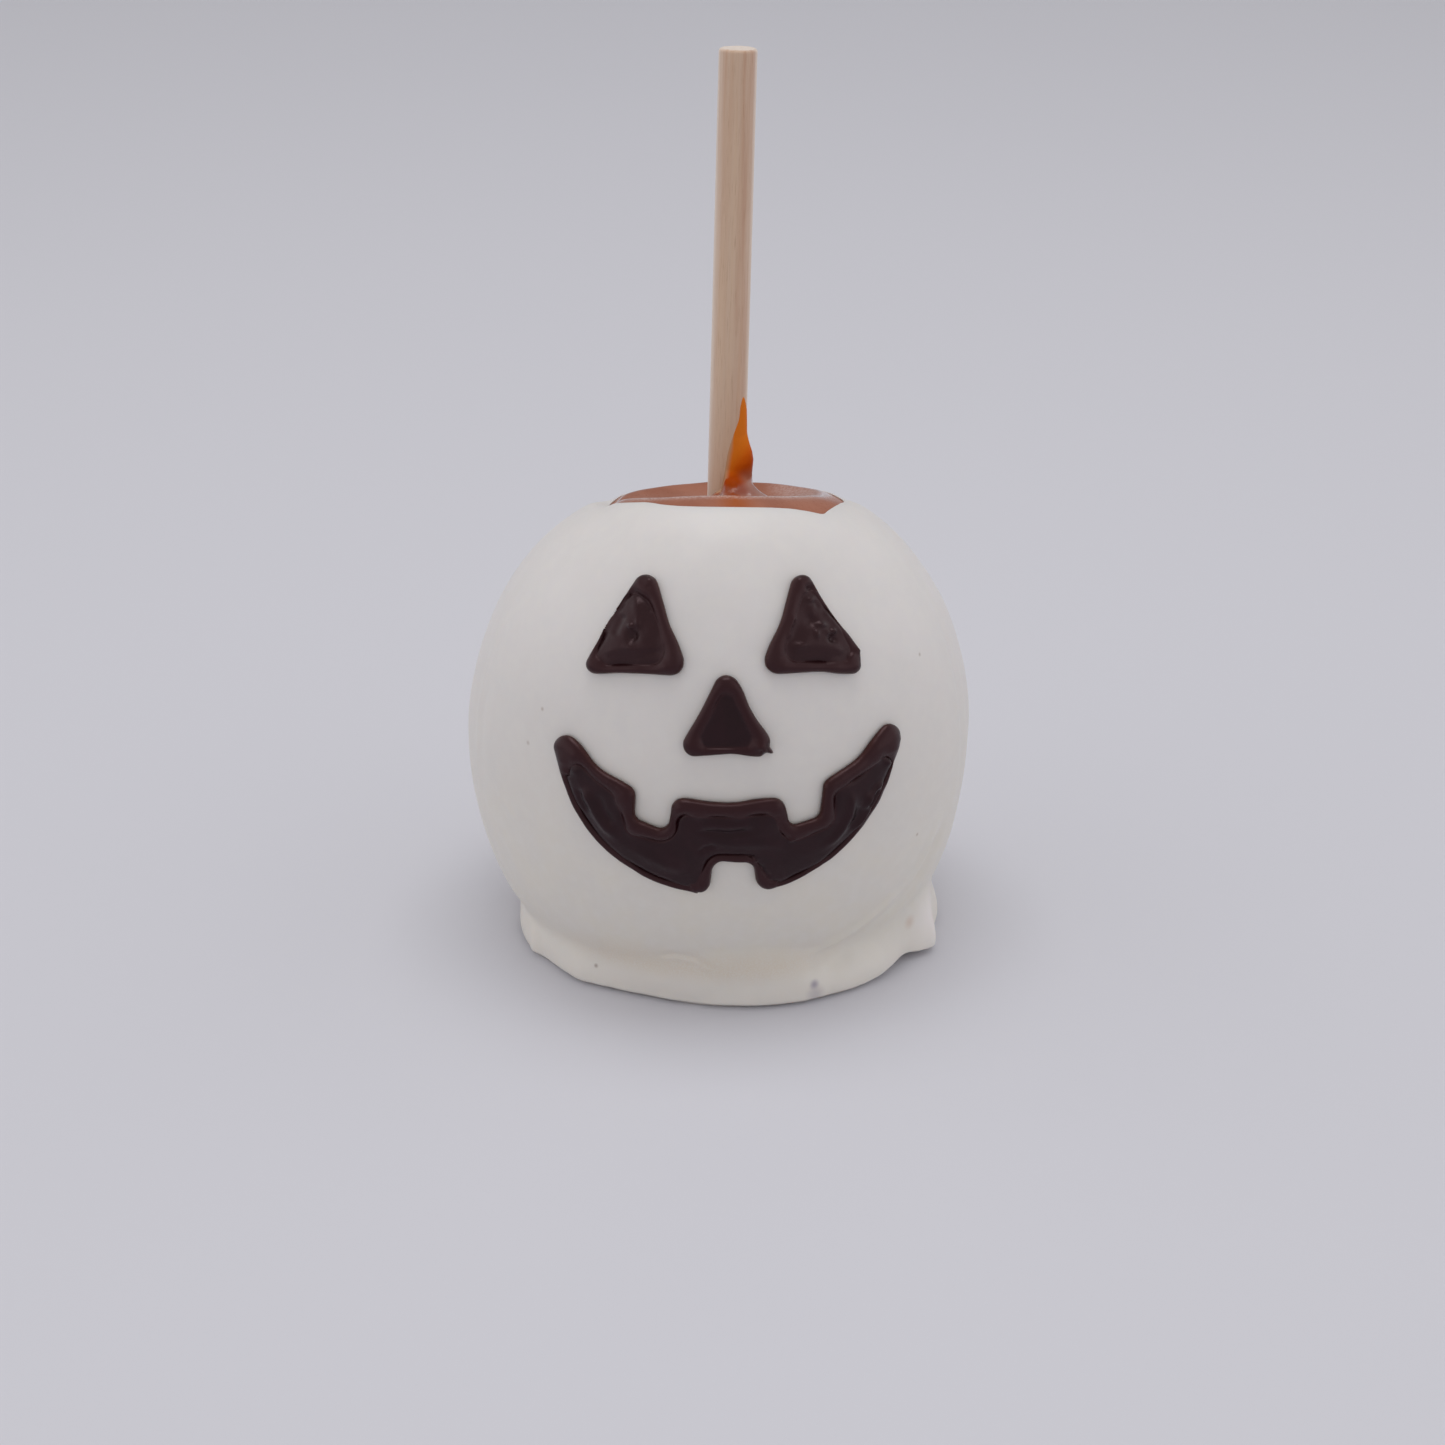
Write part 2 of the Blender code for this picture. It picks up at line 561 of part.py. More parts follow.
def main():
    for old in list(bpy.data.objects):
        bpy.data.objects.remove(old, do_unlink=True)
    apple = bpy.data.objects.new("apple", None)
    bpy.context.scene.collection.objects.link(apple)

    white = make_material("white_chocolate", (0.62, 0.59, 0.56), 0.45)
    caramel = make_material("caramel", (0.36, 0.17, 0.09), 0.35)
    wood = make_material("dowel_wood", (0.52, 0.38, 0.25), 0.6)
    dark = make_material("dark_chocolate", (0.03, 0.015, 0.014), 0.4)

    azimuth = column_azimuths()
    make_object("white_coat", turned_mesh("white_coat", coat_rings(azimuth)), white, apple)
    make_object("caramel_apple", turned_mesh("caramel_apple", caramel_rings(azimuth)), caramel, apple)
    make_stick(apple, wood)
    figures = {"left_eye": (LEFT_EYE, (LEFT_EYE_MOUND,)), "right_eye": (RIGHT_EYE, (RIGHT_EYE_MOUND,)),
               "nose": (NOSE, ()), "mouth": (MOUTH, ())}
    for name, (blobs, mounds) in figures.items():
        make_object(name, piped_mesh(name, blobs, mounds), dark, apple)


main()
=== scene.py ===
# %% [markdown]
# # A caramel apple with a jack-o'-lantern face
#
# An apple was dipped in caramel up to its stem bowl, then in white chocolate to
# just short of the bowl. It was stood down while the chocolate was soft, so a
# foot of it spread at the base, and a face was piped on it in dark chocolate.
# This lesson dresses the plain solids of that apple. Every piece is a surface
# worked out with numpy, and every finish is a small tree of shader nodes.

# %% Open the frame
import math

import bpy
import numpy as np
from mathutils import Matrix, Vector
from mathutils.geometry import delaunay_2d_cdt


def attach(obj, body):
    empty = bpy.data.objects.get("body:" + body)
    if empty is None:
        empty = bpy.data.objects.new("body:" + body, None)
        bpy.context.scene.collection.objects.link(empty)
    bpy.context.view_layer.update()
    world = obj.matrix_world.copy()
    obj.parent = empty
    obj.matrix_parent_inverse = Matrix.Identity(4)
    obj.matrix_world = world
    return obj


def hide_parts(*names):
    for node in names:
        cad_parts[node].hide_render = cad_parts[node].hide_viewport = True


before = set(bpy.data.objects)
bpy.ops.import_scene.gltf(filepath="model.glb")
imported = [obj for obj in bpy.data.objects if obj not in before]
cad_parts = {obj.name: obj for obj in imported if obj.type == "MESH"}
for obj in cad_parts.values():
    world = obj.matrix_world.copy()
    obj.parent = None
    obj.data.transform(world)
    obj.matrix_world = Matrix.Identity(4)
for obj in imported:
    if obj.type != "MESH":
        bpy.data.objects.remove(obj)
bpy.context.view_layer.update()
print("solids to dress:", sorted(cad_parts))

# %% [markdown]
# ## Small tools
#
# Soft shapes are sums of soft bumps, so most of the work is done by an ease, a
# bell and a lattice noise. The noise gives the same value at the same place
# each time, because it is worked out from the place and a seed.

# %% Soft bumps and noise
MM = 0.001
TINY = 1e-9
UP = np.array([0.0, 0.0, 1.0])
CORNER_FACTORS = np.array([73856093, 19349663, 83492791], np.uint64)
SEED_FACTOR = 2654435761
MIXING_FACTOR = np.uint64(1274126177)
FIRST_SHIFT, SECOND_SHIFT = np.uint64(13), np.uint64(16)
HASH_TOP = 65535


def smooth(amount):
    """Ease from 0 to 1: three times the square less twice the cube of the clipped amount."""
    t = np.clip(amount, 0.0, 1.0)
    return t * t * (3.0 - 2.0 * t)


def ease(value, start, end):
    """Ease from 0 at the start to 1 at the end, which may lie below the start."""
    return smooth((value - start) / (end - start))


def held(reach, share):
    """1 along a path, eased to 0 over a share of its length at both ends."""
    return ease(reach, 0.0, share) * ease(reach, 1.0, 1.0 - share)


def bell(distance, width):
    """1 at distance 0, and the exponential of minus the squared share of the width away from it."""
    return np.exp(-((distance / width) ** 2))


def between(value, marks, **options):
    """Value on the straight lines that join marks, each a place and its value."""
    places, values = np.array(marks).T
    return np.interp(value, places, values, **options)


def wrapped(turn):
    """The same turn, between minus and plus half a circle."""
    return (turn + math.pi) % math.tau - math.pi


def waves(azimuth, bumps):
    """Sum of bells round a circle: each has an azimuth and half-width in degrees and a height."""
    total = np.zeros_like(azimuth)
    for place, height, width in bumps:
        total += height * bell(wrapped(azimuth - math.radians(place)), math.radians(width))
    return total


def soften(values, times):
    """Average each value with its neighbours round a closed ring, several times over."""
    for _ in range(times):
        values = (np.roll(values, 1, 0) + 2 * values + np.roll(values, -1, 0)) / 4
    return values


def lattice_noise(points, size, seed):
    """Noise from -1 to 1: a hashed value at each corner of a lattice, eased between corners."""
    spot = points / size
    cell = np.floor(spot).astype(np.int64)
    part = smooth(spot - cell)
    total = np.zeros(points.shape[:-1])
    for corner in np.ndindex(2, 2, 2):
        at = (cell + corner).astype(np.uint64)
        mixed = np.bitwise_xor.reduce(at * CORNER_FACTORS, axis=-1) ^ np.uint64(seed * SEED_FACTOR)
        mixed ^= mixed >> FIRST_SHIFT
        mixed *= MIXING_FACTOR
        mixed ^= mixed >> SECOND_SHIFT
        value = (mixed & np.uint64(HASH_TOP)).astype(float) / (HASH_TOP / 2) - 1.0
        total += value * np.where(corner, part, 1.0 - part).prod(-1)
    return total


def undulation(points, layers, seed=0):
    """Sum of noises: each layer has a height, a size in millimetres and a number added to the seed."""
    return sum(height * lattice_noise(points, size * MM, seed + number) for height, size, number in layers)


def path_distance(across, along, path):
    """Distance from a path of straight pieces, above zero on its right, and the share along it."""
    best = np.full(across.shape, np.inf)
    signed = np.zeros(across.shape)
    reach = np.zeros(across.shape)
    corners = np.array(path, float)
    for i, (start, step) in enumerate(zip(corners, np.diff(corners, axis=0))):
        off_x, off_y = across - start[0], along - start[1]
        share = np.clip((off_x * step[0] + off_y * step[1]) / (step @ step), 0.0, 1.0)
        gap_x, gap_y = off_x - share * step[0], off_y - share * step[1]
        gap = np.hypot(gap_x, gap_y)
        nearer = gap < best
        best = np.where(nearer, gap, best)
        signed = np.where(nearer, gap * np.sign(gap_x * step[1] - gap_y * step[0]), signed)
        reach = np.where(nearer, (i + share) / (len(corners) - 1), reach)
    return signed, reach


def unit(vectors):
    """Vectors of length 1 in the same directions."""
    return vectors / np.linalg.norm(vectors, axis=-1, keepdims=True)


def spoke(azimuth):
    """Level directions of length 1, out from an upright axis."""
    return np.stack([np.cos(azimuth), np.sin(azimuth), np.zeros_like(azimuth)], -1)


print("noise at the origin:", round(float(lattice_noise(np.zeros((1, 3)), 1.0, 1)[0]), 3))

# %% [markdown]
# ## From rings to a mesh
#
# The coat, the caramel and the stick are turned forms, so each is a stack of
# rings. Neighbouring rings are joined by four-sided faces, and a point in the
# middle of the first and last ring closes the ends. The columns run
# anticlockwise and the rings go up the outside, so the faces look outwards.

# %% Join rings
USUAL_SHARP_ANGLE = 60.0


def turned_mesh(name, rings):
    """Close a stack of rings, shaped rows by columns by 3, with a point in the middle of each end."""
    rows, columns = rings.shape[:2]
    points = np.concatenate([rings.reshape(-1, 3), rings[0].mean(0)[None], rings[-1].mean(0)[None]])
    column = np.arange(columns)
    following = (column + 1) % columns
    low = (np.arange(rows - 1) * columns)[:, None]
    high = low + columns
    quads = np.stack([low + column, low + following, high + following, high + column], -1).reshape(-1, 4)
    pole, last = rows * columns, (rows - 1) * columns
    start_fan = np.stack([np.full(columns, pole), following, column], 1)
    end_fan = np.stack([np.full(columns, pole + 1), last + column, last + following], 1)
    mesh = bpy.data.meshes.new(name)
    mesh.from_pydata(points.tolist(), [], quads.tolist() + start_fan.tolist() + end_fan.tolist())
    return mesh


def ring_normals(rings):
    """Outward directions of a stack of rings: the slope round a ring crossed with that up the stack."""
    normal = np.cross(np.roll(rings, -1, 1) - np.roll(rings, 1, 1), np.gradient(rings, axis=0))
    return normal / np.maximum(np.linalg.norm(normal, axis=-1, keepdims=True), TINY)


def finish_piece(mesh, slot, *nodes, sharp_angle=USUAL_SHARP_ANGLE):
    """Put a mesh in the scene as a smooth piece on the body, in place of the nodes it stands for."""
    mesh.validate()
    mesh.shade_smooth()
    mesh.set_sharp_from_angle(angle=math.radians(sharp_angle))
    piece = bpy.data.objects.new(mesh.name, mesh)
    bpy.context.scene.collection.objects.link(piece)
    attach(piece, "root")
    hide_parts(*nodes)
    print(mesh.name, "has", len(mesh.vertices), "points and", len(mesh.polygons), "faces")
    return piece


def store(mesh, name, values):
    """Keep one number for each point of a mesh as a named attribute, for a finish to read."""
    kept = mesh.attributes.new(name, "FLOAT", "POINT")
    kept.data.foreach_set("value", np.ascontiguousarray(values, dtype=np.float32))


print("rings are joined by", turned_mesh.__name__)

# %% [markdown]
# ## The apple's form
#
# The skin is two quarter superellipses that meet at the equator: squarer
# towards the shoulders than a ball, and drawn in below. Its slices tilt more
# and more towards the crest, so the front shoulder stands higher than the
# back. Every other shape in the lesson lies on this skin, or a little off it.

# %% The skin
WIDEST_RADIUS = 44.2 * MM
EQUATOR_HEIGHT = 38.6 * MM
CREST_RADIUS = 17.6 * MM
CREST_RISE = 42.45 * MM
SHOULDER_POWER = 1.75
BELOW_DEPTH = 52.5 * MM
BELOW_POWER = 2.25
CREST_HEIGHT = EQUATOR_HEIGHT + CREST_RISE
HIGHEST_SHARE = 1.2
BACK_SLOPE = 0.284
SIDE_SLOPE = 0.021
SADDLE = 0.62 * MM
SADDLE_POWER = 6
BASE_SET_BACK = 4.0 * MM
BASE_SET_LEFT = 0.28 * MM
CREST_DENTS = ((-19.3, 2.0, 1.1, 2.2), (-18.6, 2.0, 0.7, 1.5), (21.2, 1.0, 0.7, 2.2))
DENT_LONG = 11.0 * MM
SLOPE_STEP = 1e-4


def lean(radius, height, azimuth):
    """Tilt an upright slice by the square of its height's share, sag its crest, and set low ones back."""
    share = np.clip(height / CREST_HEIGHT, 0.0, HIGHEST_SHARE)
    below = 1.0 - share
    x, y = radius * np.cos(azimuth), radius * np.sin(azimuth)
    tilt = (SIDE_SLOPE * x - BACK_SLOPE * y) * share ** 2
    sag = SADDLE * np.cos(2 * azimuth) * np.minimum(radius / CREST_RADIUS, 1.0) ** 2
    for across, back, depth, wide in CREST_DENTS:
        sag = sag + depth * MM * bell(x - across * MM, wide * MM) * bell(y - back * MM, DENT_LONG)
    raised = height + tilt - sag * share ** SADDLE_POWER
    return np.stack([x - BASE_SET_LEFT * below, y + BASE_SET_BACK * below ** 2, raised], -1)


def skin(azimuth, latitude):
    """A point of the skin: the radius follows a power of the cosine, the height one of the sine."""
    cosine = np.maximum(np.cos(latitude), TINY)
    sine = np.maximum(np.sin(np.abs(latitude)), TINY)
    upper_radius = CREST_RADIUS + (WIDEST_RADIUS - CREST_RADIUS) * cosine ** (2 / SHOULDER_POWER)
    lower_radius = WIDEST_RADIUS * cosine ** (2 / BELOW_POWER)
    upper_height = CREST_RISE * sine ** (2 / SHOULDER_POWER)
    lower_height = -BELOW_DEPTH * sine ** (2 / BELOW_POWER)
    radius = np.where(latitude >= 0, upper_radius, lower_radius)
    height = EQUATOR_HEIGHT + np.where(latitude >= 0, upper_height, lower_height)
    return lean(radius, height, azimuth)


def skin_normal(azimuth, latitude):
    """Outward direction of the skin: its slope along the azimuth crossed with that along the latitude."""
    here = skin(azimuth, latitude)
    along = skin(azimuth + SLOPE_STEP, latitude) - here
    return unit(np.cross(along, skin(azimuth, latitude + SLOPE_STEP) - here))


def off_skin(azimuth, latitude, rise):
    """Points at a rise above the skin, or at a depth under it."""
    return skin(azimuth, latitude) + skin_normal(azimuth, latitude) * np.asarray(rise)[..., None]


def latitude_of_height(height):
    """Latitude below the equator of a height of the upright profile."""
    return -np.arcsin(((EQUATOR_HEIGHT - height) / BELOW_DEPTH) ** (BELOW_POWER / 2))


OPENING_EDGE = (
    (-180, 18.5), (-166, 18.7), (-155, 19.8), (-144, 20.5), (-127, 20.5), (-121, 21.0), (-116, 21.6),
    (-108, 22.15), (-98, 22.5), (-80, 22.85), (-68, 23.1), (-60, 23.45), (-53, 24.2), (-46.8, 25.1),
    (-42.5, 24.3), (-38, 23.7), (-33, 23.1), (-24, 22.2), (-10, 21.5), (2, 21.2), (30, 21.5),
    (70, 22.1), (110, 22.5), (140, 21.9), (165, 19.8), (180, 18.5))
OPENING_SHIFTS = np.linspace(-1.6, 1.6, 7)


def opening_latitude(azimuth):
    """Latitude of the coat's upper edge: marks of azimuth and radius joined up, averaged over 3 degrees."""
    turn = np.degrees(wrapped(azimuth))
    radius = np.mean([between(turn + shift, OPENING_EDGE, period=360.0) for shift in OPENING_SHIFTS], 0) * MM
    return np.arccos(((radius - CREST_RADIUS) / (WIDEST_RADIUS - CREST_RADIUS)) ** (SHOULDER_POWER / 2))


print("front of the crest, mm:", (skin(-math.pi / 2, math.pi / 2) / MM).round(1))

# %% [markdown]
# ## The white chocolate coat
#
# The coat follows the skin down to a groove, then a curve carries it out over
# the foot where the chocolate pooled, and down to the ground. Dipping leaves
# low relief: a long roll that slid down on the right, faint drawn streaks at
# the sides, and small nubs where the foot's edge caught. It could be sculpted,
# but as sums of bells along a few short paths each mark stays easy to move.

# %% The foot's outline
FOOT_CENTRE = (1.4 * MM, 1.7 * MM, 0.0)
FOOT_RADIUS = 37.3 * MM
FOOT_WAVES = (
    (-158, 1.15, 14), (-136, 0.6, 9), (-112, -1.0, 15), (-76, 0.4, 8), (-50, 0.8, 12), (-36, -0.3, 6),
    (-25, 1.9, 6), (-4, 1.0, 18), (48, -0.5, 20), (96, 0.8, 18), (142, -0.6, 16))
FOOT_NUBS = (
    (-153, 0.55, 2.2), (-132, 0.3, 3.0), (-127, 0.15, 1.6), (-69, 0.35, 3.5), (-64, 0.2, 1.5),
    (-23.5, 0.8, 2.4), (12, 0.3, 4.0), (61, 0.4, 3.0), (118, 0.3, 5.0), (163, 0.35, 3.0))
FOOT_RISE = 8.3 * MM
FOOT_RISE_WAVES = ((-170, -1.2, 30), (-84, 4.5, 24), (-26, 4.6, 15), (-8, 1.2, 20), (75, 0.9, 30))
FOOT_BEND = 0.35 * FOOT_RISE
FOOT_CREST = 0.55 * FOOT_RISE
FOOT_BULGE = 0.3 * MM
FOOT_EDGE = 1.15 * MM
FOOT_LIFT = 1.1 * MM
FOOT_LIFT_WAVES = ((-35, 1.0, 10),)
FOOT_TUCK = 4.0 * MM
EDGE_ROUNDING = 0.45 * MM
ROUNDING_ROWS = 6


def groove_latitude(azimuth):
    """Latitude at which the coat runs into its foot."""
    return latitude_of_height(FOOT_RISE + waves(azimuth, FOOT_RISE_WAVES) * MM)


def foot_rings(azimuth, rows):
    """Rings from the groove to the ground: a cubic curve to the rim, a rounded edge, a tucked underside."""
    groove = skin(azimuth, groove_latitude(azimuth))
    fall = unit(groove - skin(azimuth, groove_latitude(azimuth) + SLOPE_STEP))
    outward = spoke(azimuth)
    edge = FOOT_CENTRE + outward * (FOOT_RADIUS + waves(azimuth, FOOT_WAVES + FOOT_NUBS) * MM)[:, None]
    lifted = waves(azimuth, FOOT_LIFT_WAVES)[:, None]
    bend = groove + fall * FOOT_BEND
    crest = edge + outward * FOOT_BULGE + UP * (FOOT_CREST + FOOT_LIFT * lifted)
    rim = edge + UP * (FOOT_EDGE + FOOT_LIFT * lifted)
    t = np.linspace(0.0, 1.0, rows)[:, None, None]
    curve = (1 - t) ** 3 * groove + 3 * t * (1 - t) ** 2 * bend + 3 * t ** 2 * (1 - t) * crest + t ** 3 * rim
    turn = np.linspace(0.0, math.pi / 2, ROUNDING_ROWS)[1:, None, None]
    rounding = rim - EDGE_ROUNDING * (outward * (1 - np.cos(turn)) + UP * np.sin(turn))
    tuck = edge - outward * (FOOT_EDGE + FOOT_TUCK * lifted)
    return np.concatenate([curve, rounding, tuck[None]])


widest_foot = FOOT_RADIUS / MM + max(height for _, height, _ in FOOT_WAVES)
print("widest reach of the foot, mm:", round(widest_foot, 1))

# %% Relief of the coat
RIGHT_ROLL = (
    (-27, 31.0), (-31.5, 26.7), (-34.3, 22.6), (-36.5, 20.2), (-39.8, 17.9), (-44.1, 16.2), (-48.3, 14.4),
    (-53.1, 12.3), (-58, 10.4), (-64.5, 9.4), (-72, 8.8))
LEFT_FOLD = ((-150, 36.5), (-146, 33.5), (-143, 32.0), (-138, 31.4))
GROOVE_RIPPLE = ((-106, 9.4), (-101, 10.4), (-96, 10.0), (-91.5, 7.4))
COAT_FOLDS = (
    (RIGHT_ROLL, ((0.46, 0.0, 0.9), (-0.1, 1.9, 1.2), (-0.8, -3.2, 1.9))),
    (LEFT_FOLD, ((0.2, 0.0, 0.7), (-0.12, 1.6, 0.9))),
    (GROOVE_RIPPLE, ((0.16, 0.5, 0.5), (-0.22, -0.4, 0.5))))
FOLD_ENDS = 0.2
SIDE_STREAKS = (
    (-160.5, 0.16, 1.3), (-157.5, -0.12, 1.2), (-153, 0.08, 1.6), (-20.5, 0.12, 1.5), (-17.5, -0.14, 1.3),
    (-14, 0.1, 1.6), (40, 0.1, 2.0), (96, 0.12, 2.4), (150, 0.1, 2.0))
STREAK_HEIGHT, STREAK_LONG = 50.0, 17.0
LUMP_HEIGHT, LUMP_LONG = 3.0, 4.5
COAT_NOISE = ((0.24, 15.0, 3), (0.07, 6.0, 5), (0.012, 1.6, 7))
LUMP_NOISE = ((0.3, 5.0, 11), (0.1, 2.2, 13))


def coat_relief(azimuth, points):
    """Rise of the coat in millimetres: noise, streaks, lumps at the foot, and bells beside its folds."""
    height = points[..., 2] / MM
    turn = wrapped(azimuth) + np.zeros_like(height)
    rise = undulation(points, COAT_NOISE)
    rise += waves(turn, SIDE_STREAKS) * bell(height - STREAK_HEIGHT, STREAK_LONG)
    rise += undulation(points, LUMP_NOISE) * bell(height - LUMP_HEIGHT, LUMP_LONG)
    for path, profile in COAT_FOLDS:
        bent = [(math.radians(place) * WIDEST_RADIUS / MM, up) for place, up in path]
        away, reach = path_distance(turn * WIDEST_RADIUS / MM, height, bent)
        across = sum(tall * bell(away - beside, width) for tall, beside, width in profile)
        rise += across * held(reach, FOLD_ENDS)
    return rise


print("folds and streaks on the coat:", len(COAT_FOLDS), "and", len(SIDE_STREAKS))

# %% Build the coat
COAT_COLUMNS = 440
COLUMN_SQUEEZE = 0.35
SQUEEZE_AZIMUTH = math.radians(-50)
COAT_ROWS = 132
FOOT_ROWS = 40
LEVEL_ROWS = 2
COAT_DEPTH = 2.3 * MM
COAT_FLOOR = 2.6 * MM
LIP_STEP = 0.25 * MM
LIP_FADE = math.radians(20)
LIP_ROUND_ROWS = 7
RELIEF_FROM_LIP = 3.0 * MM
RELIEF_FROM_GROUND = 1.5 * MM
CARAMEL_LOW = 7.5 * MM
CARAMEL_BASE_RADIUS = 27.0 * MM
INSIDE_ROWS = 9


def column_azimuths(columns):
    """Azimuths of the columns, closer together where the front has its fine folds."""
    t = np.arange(columns) * math.tau / columns
    return t - COLUMN_SQUEEZE * np.sin(t - SQUEEZE_AZIMUTH)


def side_rings(azimuth, rows):
    """Rings between caramel and coat, lip to base: the skin less the coat's depth, eased off at the lip."""
    top, low = opening_latitude(azimuth), latitude_of_height(CARAMEL_LOW)
    latitude = top + (low - top) * np.linspace(0.0, 1.0, rows)[:, None]
    rings = off_skin(azimuth, latitude, -COAT_DEPTH * ease(top - latitude, 0.0, LIP_FADE))
    base = lean(CARAMEL_BASE_RADIUS, COAT_FLOOR, azimuth)
    base[:, 2] = COAT_FLOOR
    return np.concatenate([rings, base[None]])


def coat_surface():
    """All rings of the coat: underside, foot, skin with its relief, a rounded lip, and the inside."""
    azimuth = column_azimuths(COAT_COLUMNS)
    low, top = groove_latitude(azimuth), opening_latitude(azimuth)
    latitude = low + (top - low) * np.linspace(0.0, 1.0, COAT_ROWS)[1:, None]
    body = off_skin(azimuth, latitude, LIP_STEP * ease(top - latitude, LIP_FADE, 0.0))
    outside = np.concatenate([foot_rings(azimuth, FOOT_ROWS)[::-1], body])
    rise = coat_relief(azimuth, outside) * MM
    rise[:LEVEL_ROWS] = 0.0
    from_lip = np.linalg.norm(outside - outside[-1], axis=-1)
    rise *= smooth(from_lip / RELIEF_FROM_LIP) * smooth(outside[..., 2] / RELIEF_FROM_GROUND)
    outside = outside + ring_normals(outside) * rise[..., None]
    edge, inside_edge = outside[-1], skin(azimuth, top)
    ahead = unit(edge - outside[-2]) * LIP_STEP / 2
    turn = np.linspace(0.0, math.pi, LIP_ROUND_ROWS)[1:, None, None]
    lip = (edge + inside_edge) / 2 - (inside_edge - edge) / 2 * np.cos(turn) + ahead * np.sin(turn)
    return np.concatenate([outside, lip, side_rings(azimuth, INSIDE_ROWS)[1:]])


coat_rings = coat_surface()
coat = finish_piece(turned_mesh("coat", coat_rings), "white_chocolate", "white_coat")

# %% [markdown]
# ## The stick
#
# The stick is a quarter inch birch dowel, cut off square and a little worn at
# the edge. A plain cylinder would do for its outline, but its raised grain
# catches the light, so it is turned from rings whose radius follows a noise
# drawn out along the wood.

# %% Turn the stick
STICK_RADIUS = 3.175 * MM
STICK_LENGTH = 140.0 * MM
STICK_TOP = 155.8 * MM
STICK_AT_BOWL = (1.1 * MM, 0.0, CREST_HEIGHT)
STICK_LEAN_BACK = math.radians(4.0)
STICK_LEAN_RIGHT = math.radians(1.5)
STICK_COLUMNS = 112
STICK_ROWS = 300
END_ROWS, CAP_ROWS = 7, 9
CAP_START, CAP_END = 0.12, 0.98
WORN_EDGE = 0.55 * MM
SAWN_RADIUS = STICK_RADIUS - 0.3 * MM
GRAIN_STRETCH = (1.0, 1.0, 0.025)
GRAIN_RIDGES = ((0.022, 0.32, 21), (0.03, 1.1, 22))
SAW_MARKS = ((0.035, 0.45, 23),)
stick_along = Vector((math.tan(STICK_LEAN_RIGHT), math.tan(STICK_LEAN_BACK), 1.0)).normalized()
stick_turn = stick_along.to_track_quat("Z", "Y")
stick_end = Vector(STICK_AT_BOWL) + stick_along * (STICK_TOP - CREST_HEIGHT) / stick_along.z


def stick_surface():
    """Rings of a cylinder with quarter-round ends; fine ridges follow a noise stretched fortyfold."""
    outward = spoke(np.arange(STICK_COLUMNS) * math.tau / STICK_COLUMNS)
    turn = np.linspace(0.0, math.pi / 2, END_ROWS)
    cap = (STICK_RADIUS - WORN_EDGE) * np.linspace(CAP_START, CAP_END, CAP_ROWS)
    end_radius = np.append(cap, STICK_RADIUS - WORN_EDGE * (1 - np.sin(turn)))
    end_drop = np.append(np.zeros(CAP_ROWS), WORN_EDGE * (1 - np.cos(turn)))
    length = np.linspace(-STICK_LENGTH + WORN_EDGE, -WORN_EDGE, STICK_ROWS)[1:-1]
    radius = np.concatenate([end_radius, np.full(len(length), STICK_RADIUS), end_radius[::-1]])
    along = np.concatenate([end_drop - STICK_LENGTH, length, -end_drop[::-1]])
    rings = outward * radius[:, None, None] + UP * along[:, None, None]
    ridge = undulation(rings * GRAIN_STRETCH, GRAIN_RIDGES) * MM * smooth(radius / STICK_RADIUS)[:, None]
    rings = rings + outward * ridge[..., None]
    rings[..., 2] += undulation(rings, SAW_MARKS) * MM * (radius < SAWN_RADIUS)[:, None]
    return rings @ np.array(stick_turn.to_matrix()).T + np.array(stick_end)


stick = finish_piece(turned_mesh("dowel", stick_surface()), "dowel_wood", "stick")

# %% [markdown]
# ## The caramel
#
# Only the caramel in the stem bowl shows. It dips towards the stick, climbs it
# in a low collar, and on the right it drew out into a long drip when the apple
# was lifted from the pan. The bowl is rings that close in on the stick, with
# slow waves and a low ridge along the crest.

# %% The bowl
BOWL_DIP = 1.8 * MM
BOWL_DIP_POWER = 1.7
BOWL_FLOOR_RADIUS = 11.8 * MM
CREST_ROWS = 20
BOWL_ROWS = 34
BOWL_NOISE = ((0.14, 6.0, 31), (0.03, 2.4, 32))
RIDGE_RISE, RIDGE_RADIUS, RIDGE_WIDE = 0.2, 18.2, 0.9
SWELL_FROM_EDGE = 2.5 * MM


def bowl_surface(azimuth):
    """Rings from the coat's edge over the crest and down into the bowl, with the caramel's slow waves."""
    top = opening_latitude(azimuth)
    outer = skin(azimuth, top + (math.pi / 2 - top) * np.linspace(0.0, 1.0, CREST_ROWS)[:, None])
    share = np.linspace(0.0, 1.0, BOWL_ROWS)[1:, None]
    radius = CREST_RADIUS + (BOWL_FLOOR_RADIUS - CREST_RADIUS) * share
    inner = lean(radius, CREST_HEIGHT - BOWL_DIP * (1.0 - (1.0 - share) ** BOWL_DIP_POWER), azimuth)
    inner[..., 0] += STICK_AT_BOWL[0] * share
    rings = np.concatenate([outer, inner])
    ridge = RIDGE_RISE * bell(np.hypot(rings[..., 0], rings[..., 1]) / MM - RIDGE_RADIUS, RIDGE_WIDE)
    swell = (undulation(rings, BOWL_NOISE) + ridge) * MM
    rings[..., 2] += swell * smooth(np.linalg.norm(rings - rings[0], axis=-1) / SWELL_FROM_EDGE)
    return rings


print("depth of the bowl, mm:", round(BOWL_DIP / MM, 1))

# %% [markdown]
# ### The drip
#
# The drip's edge goes round the stick like a tongue: its height follows a
# rounded arch of the azimuth. Its thickness is a fillet at the foot and a bead
# higher up, and three short folds lie across its foot, where it sagged.

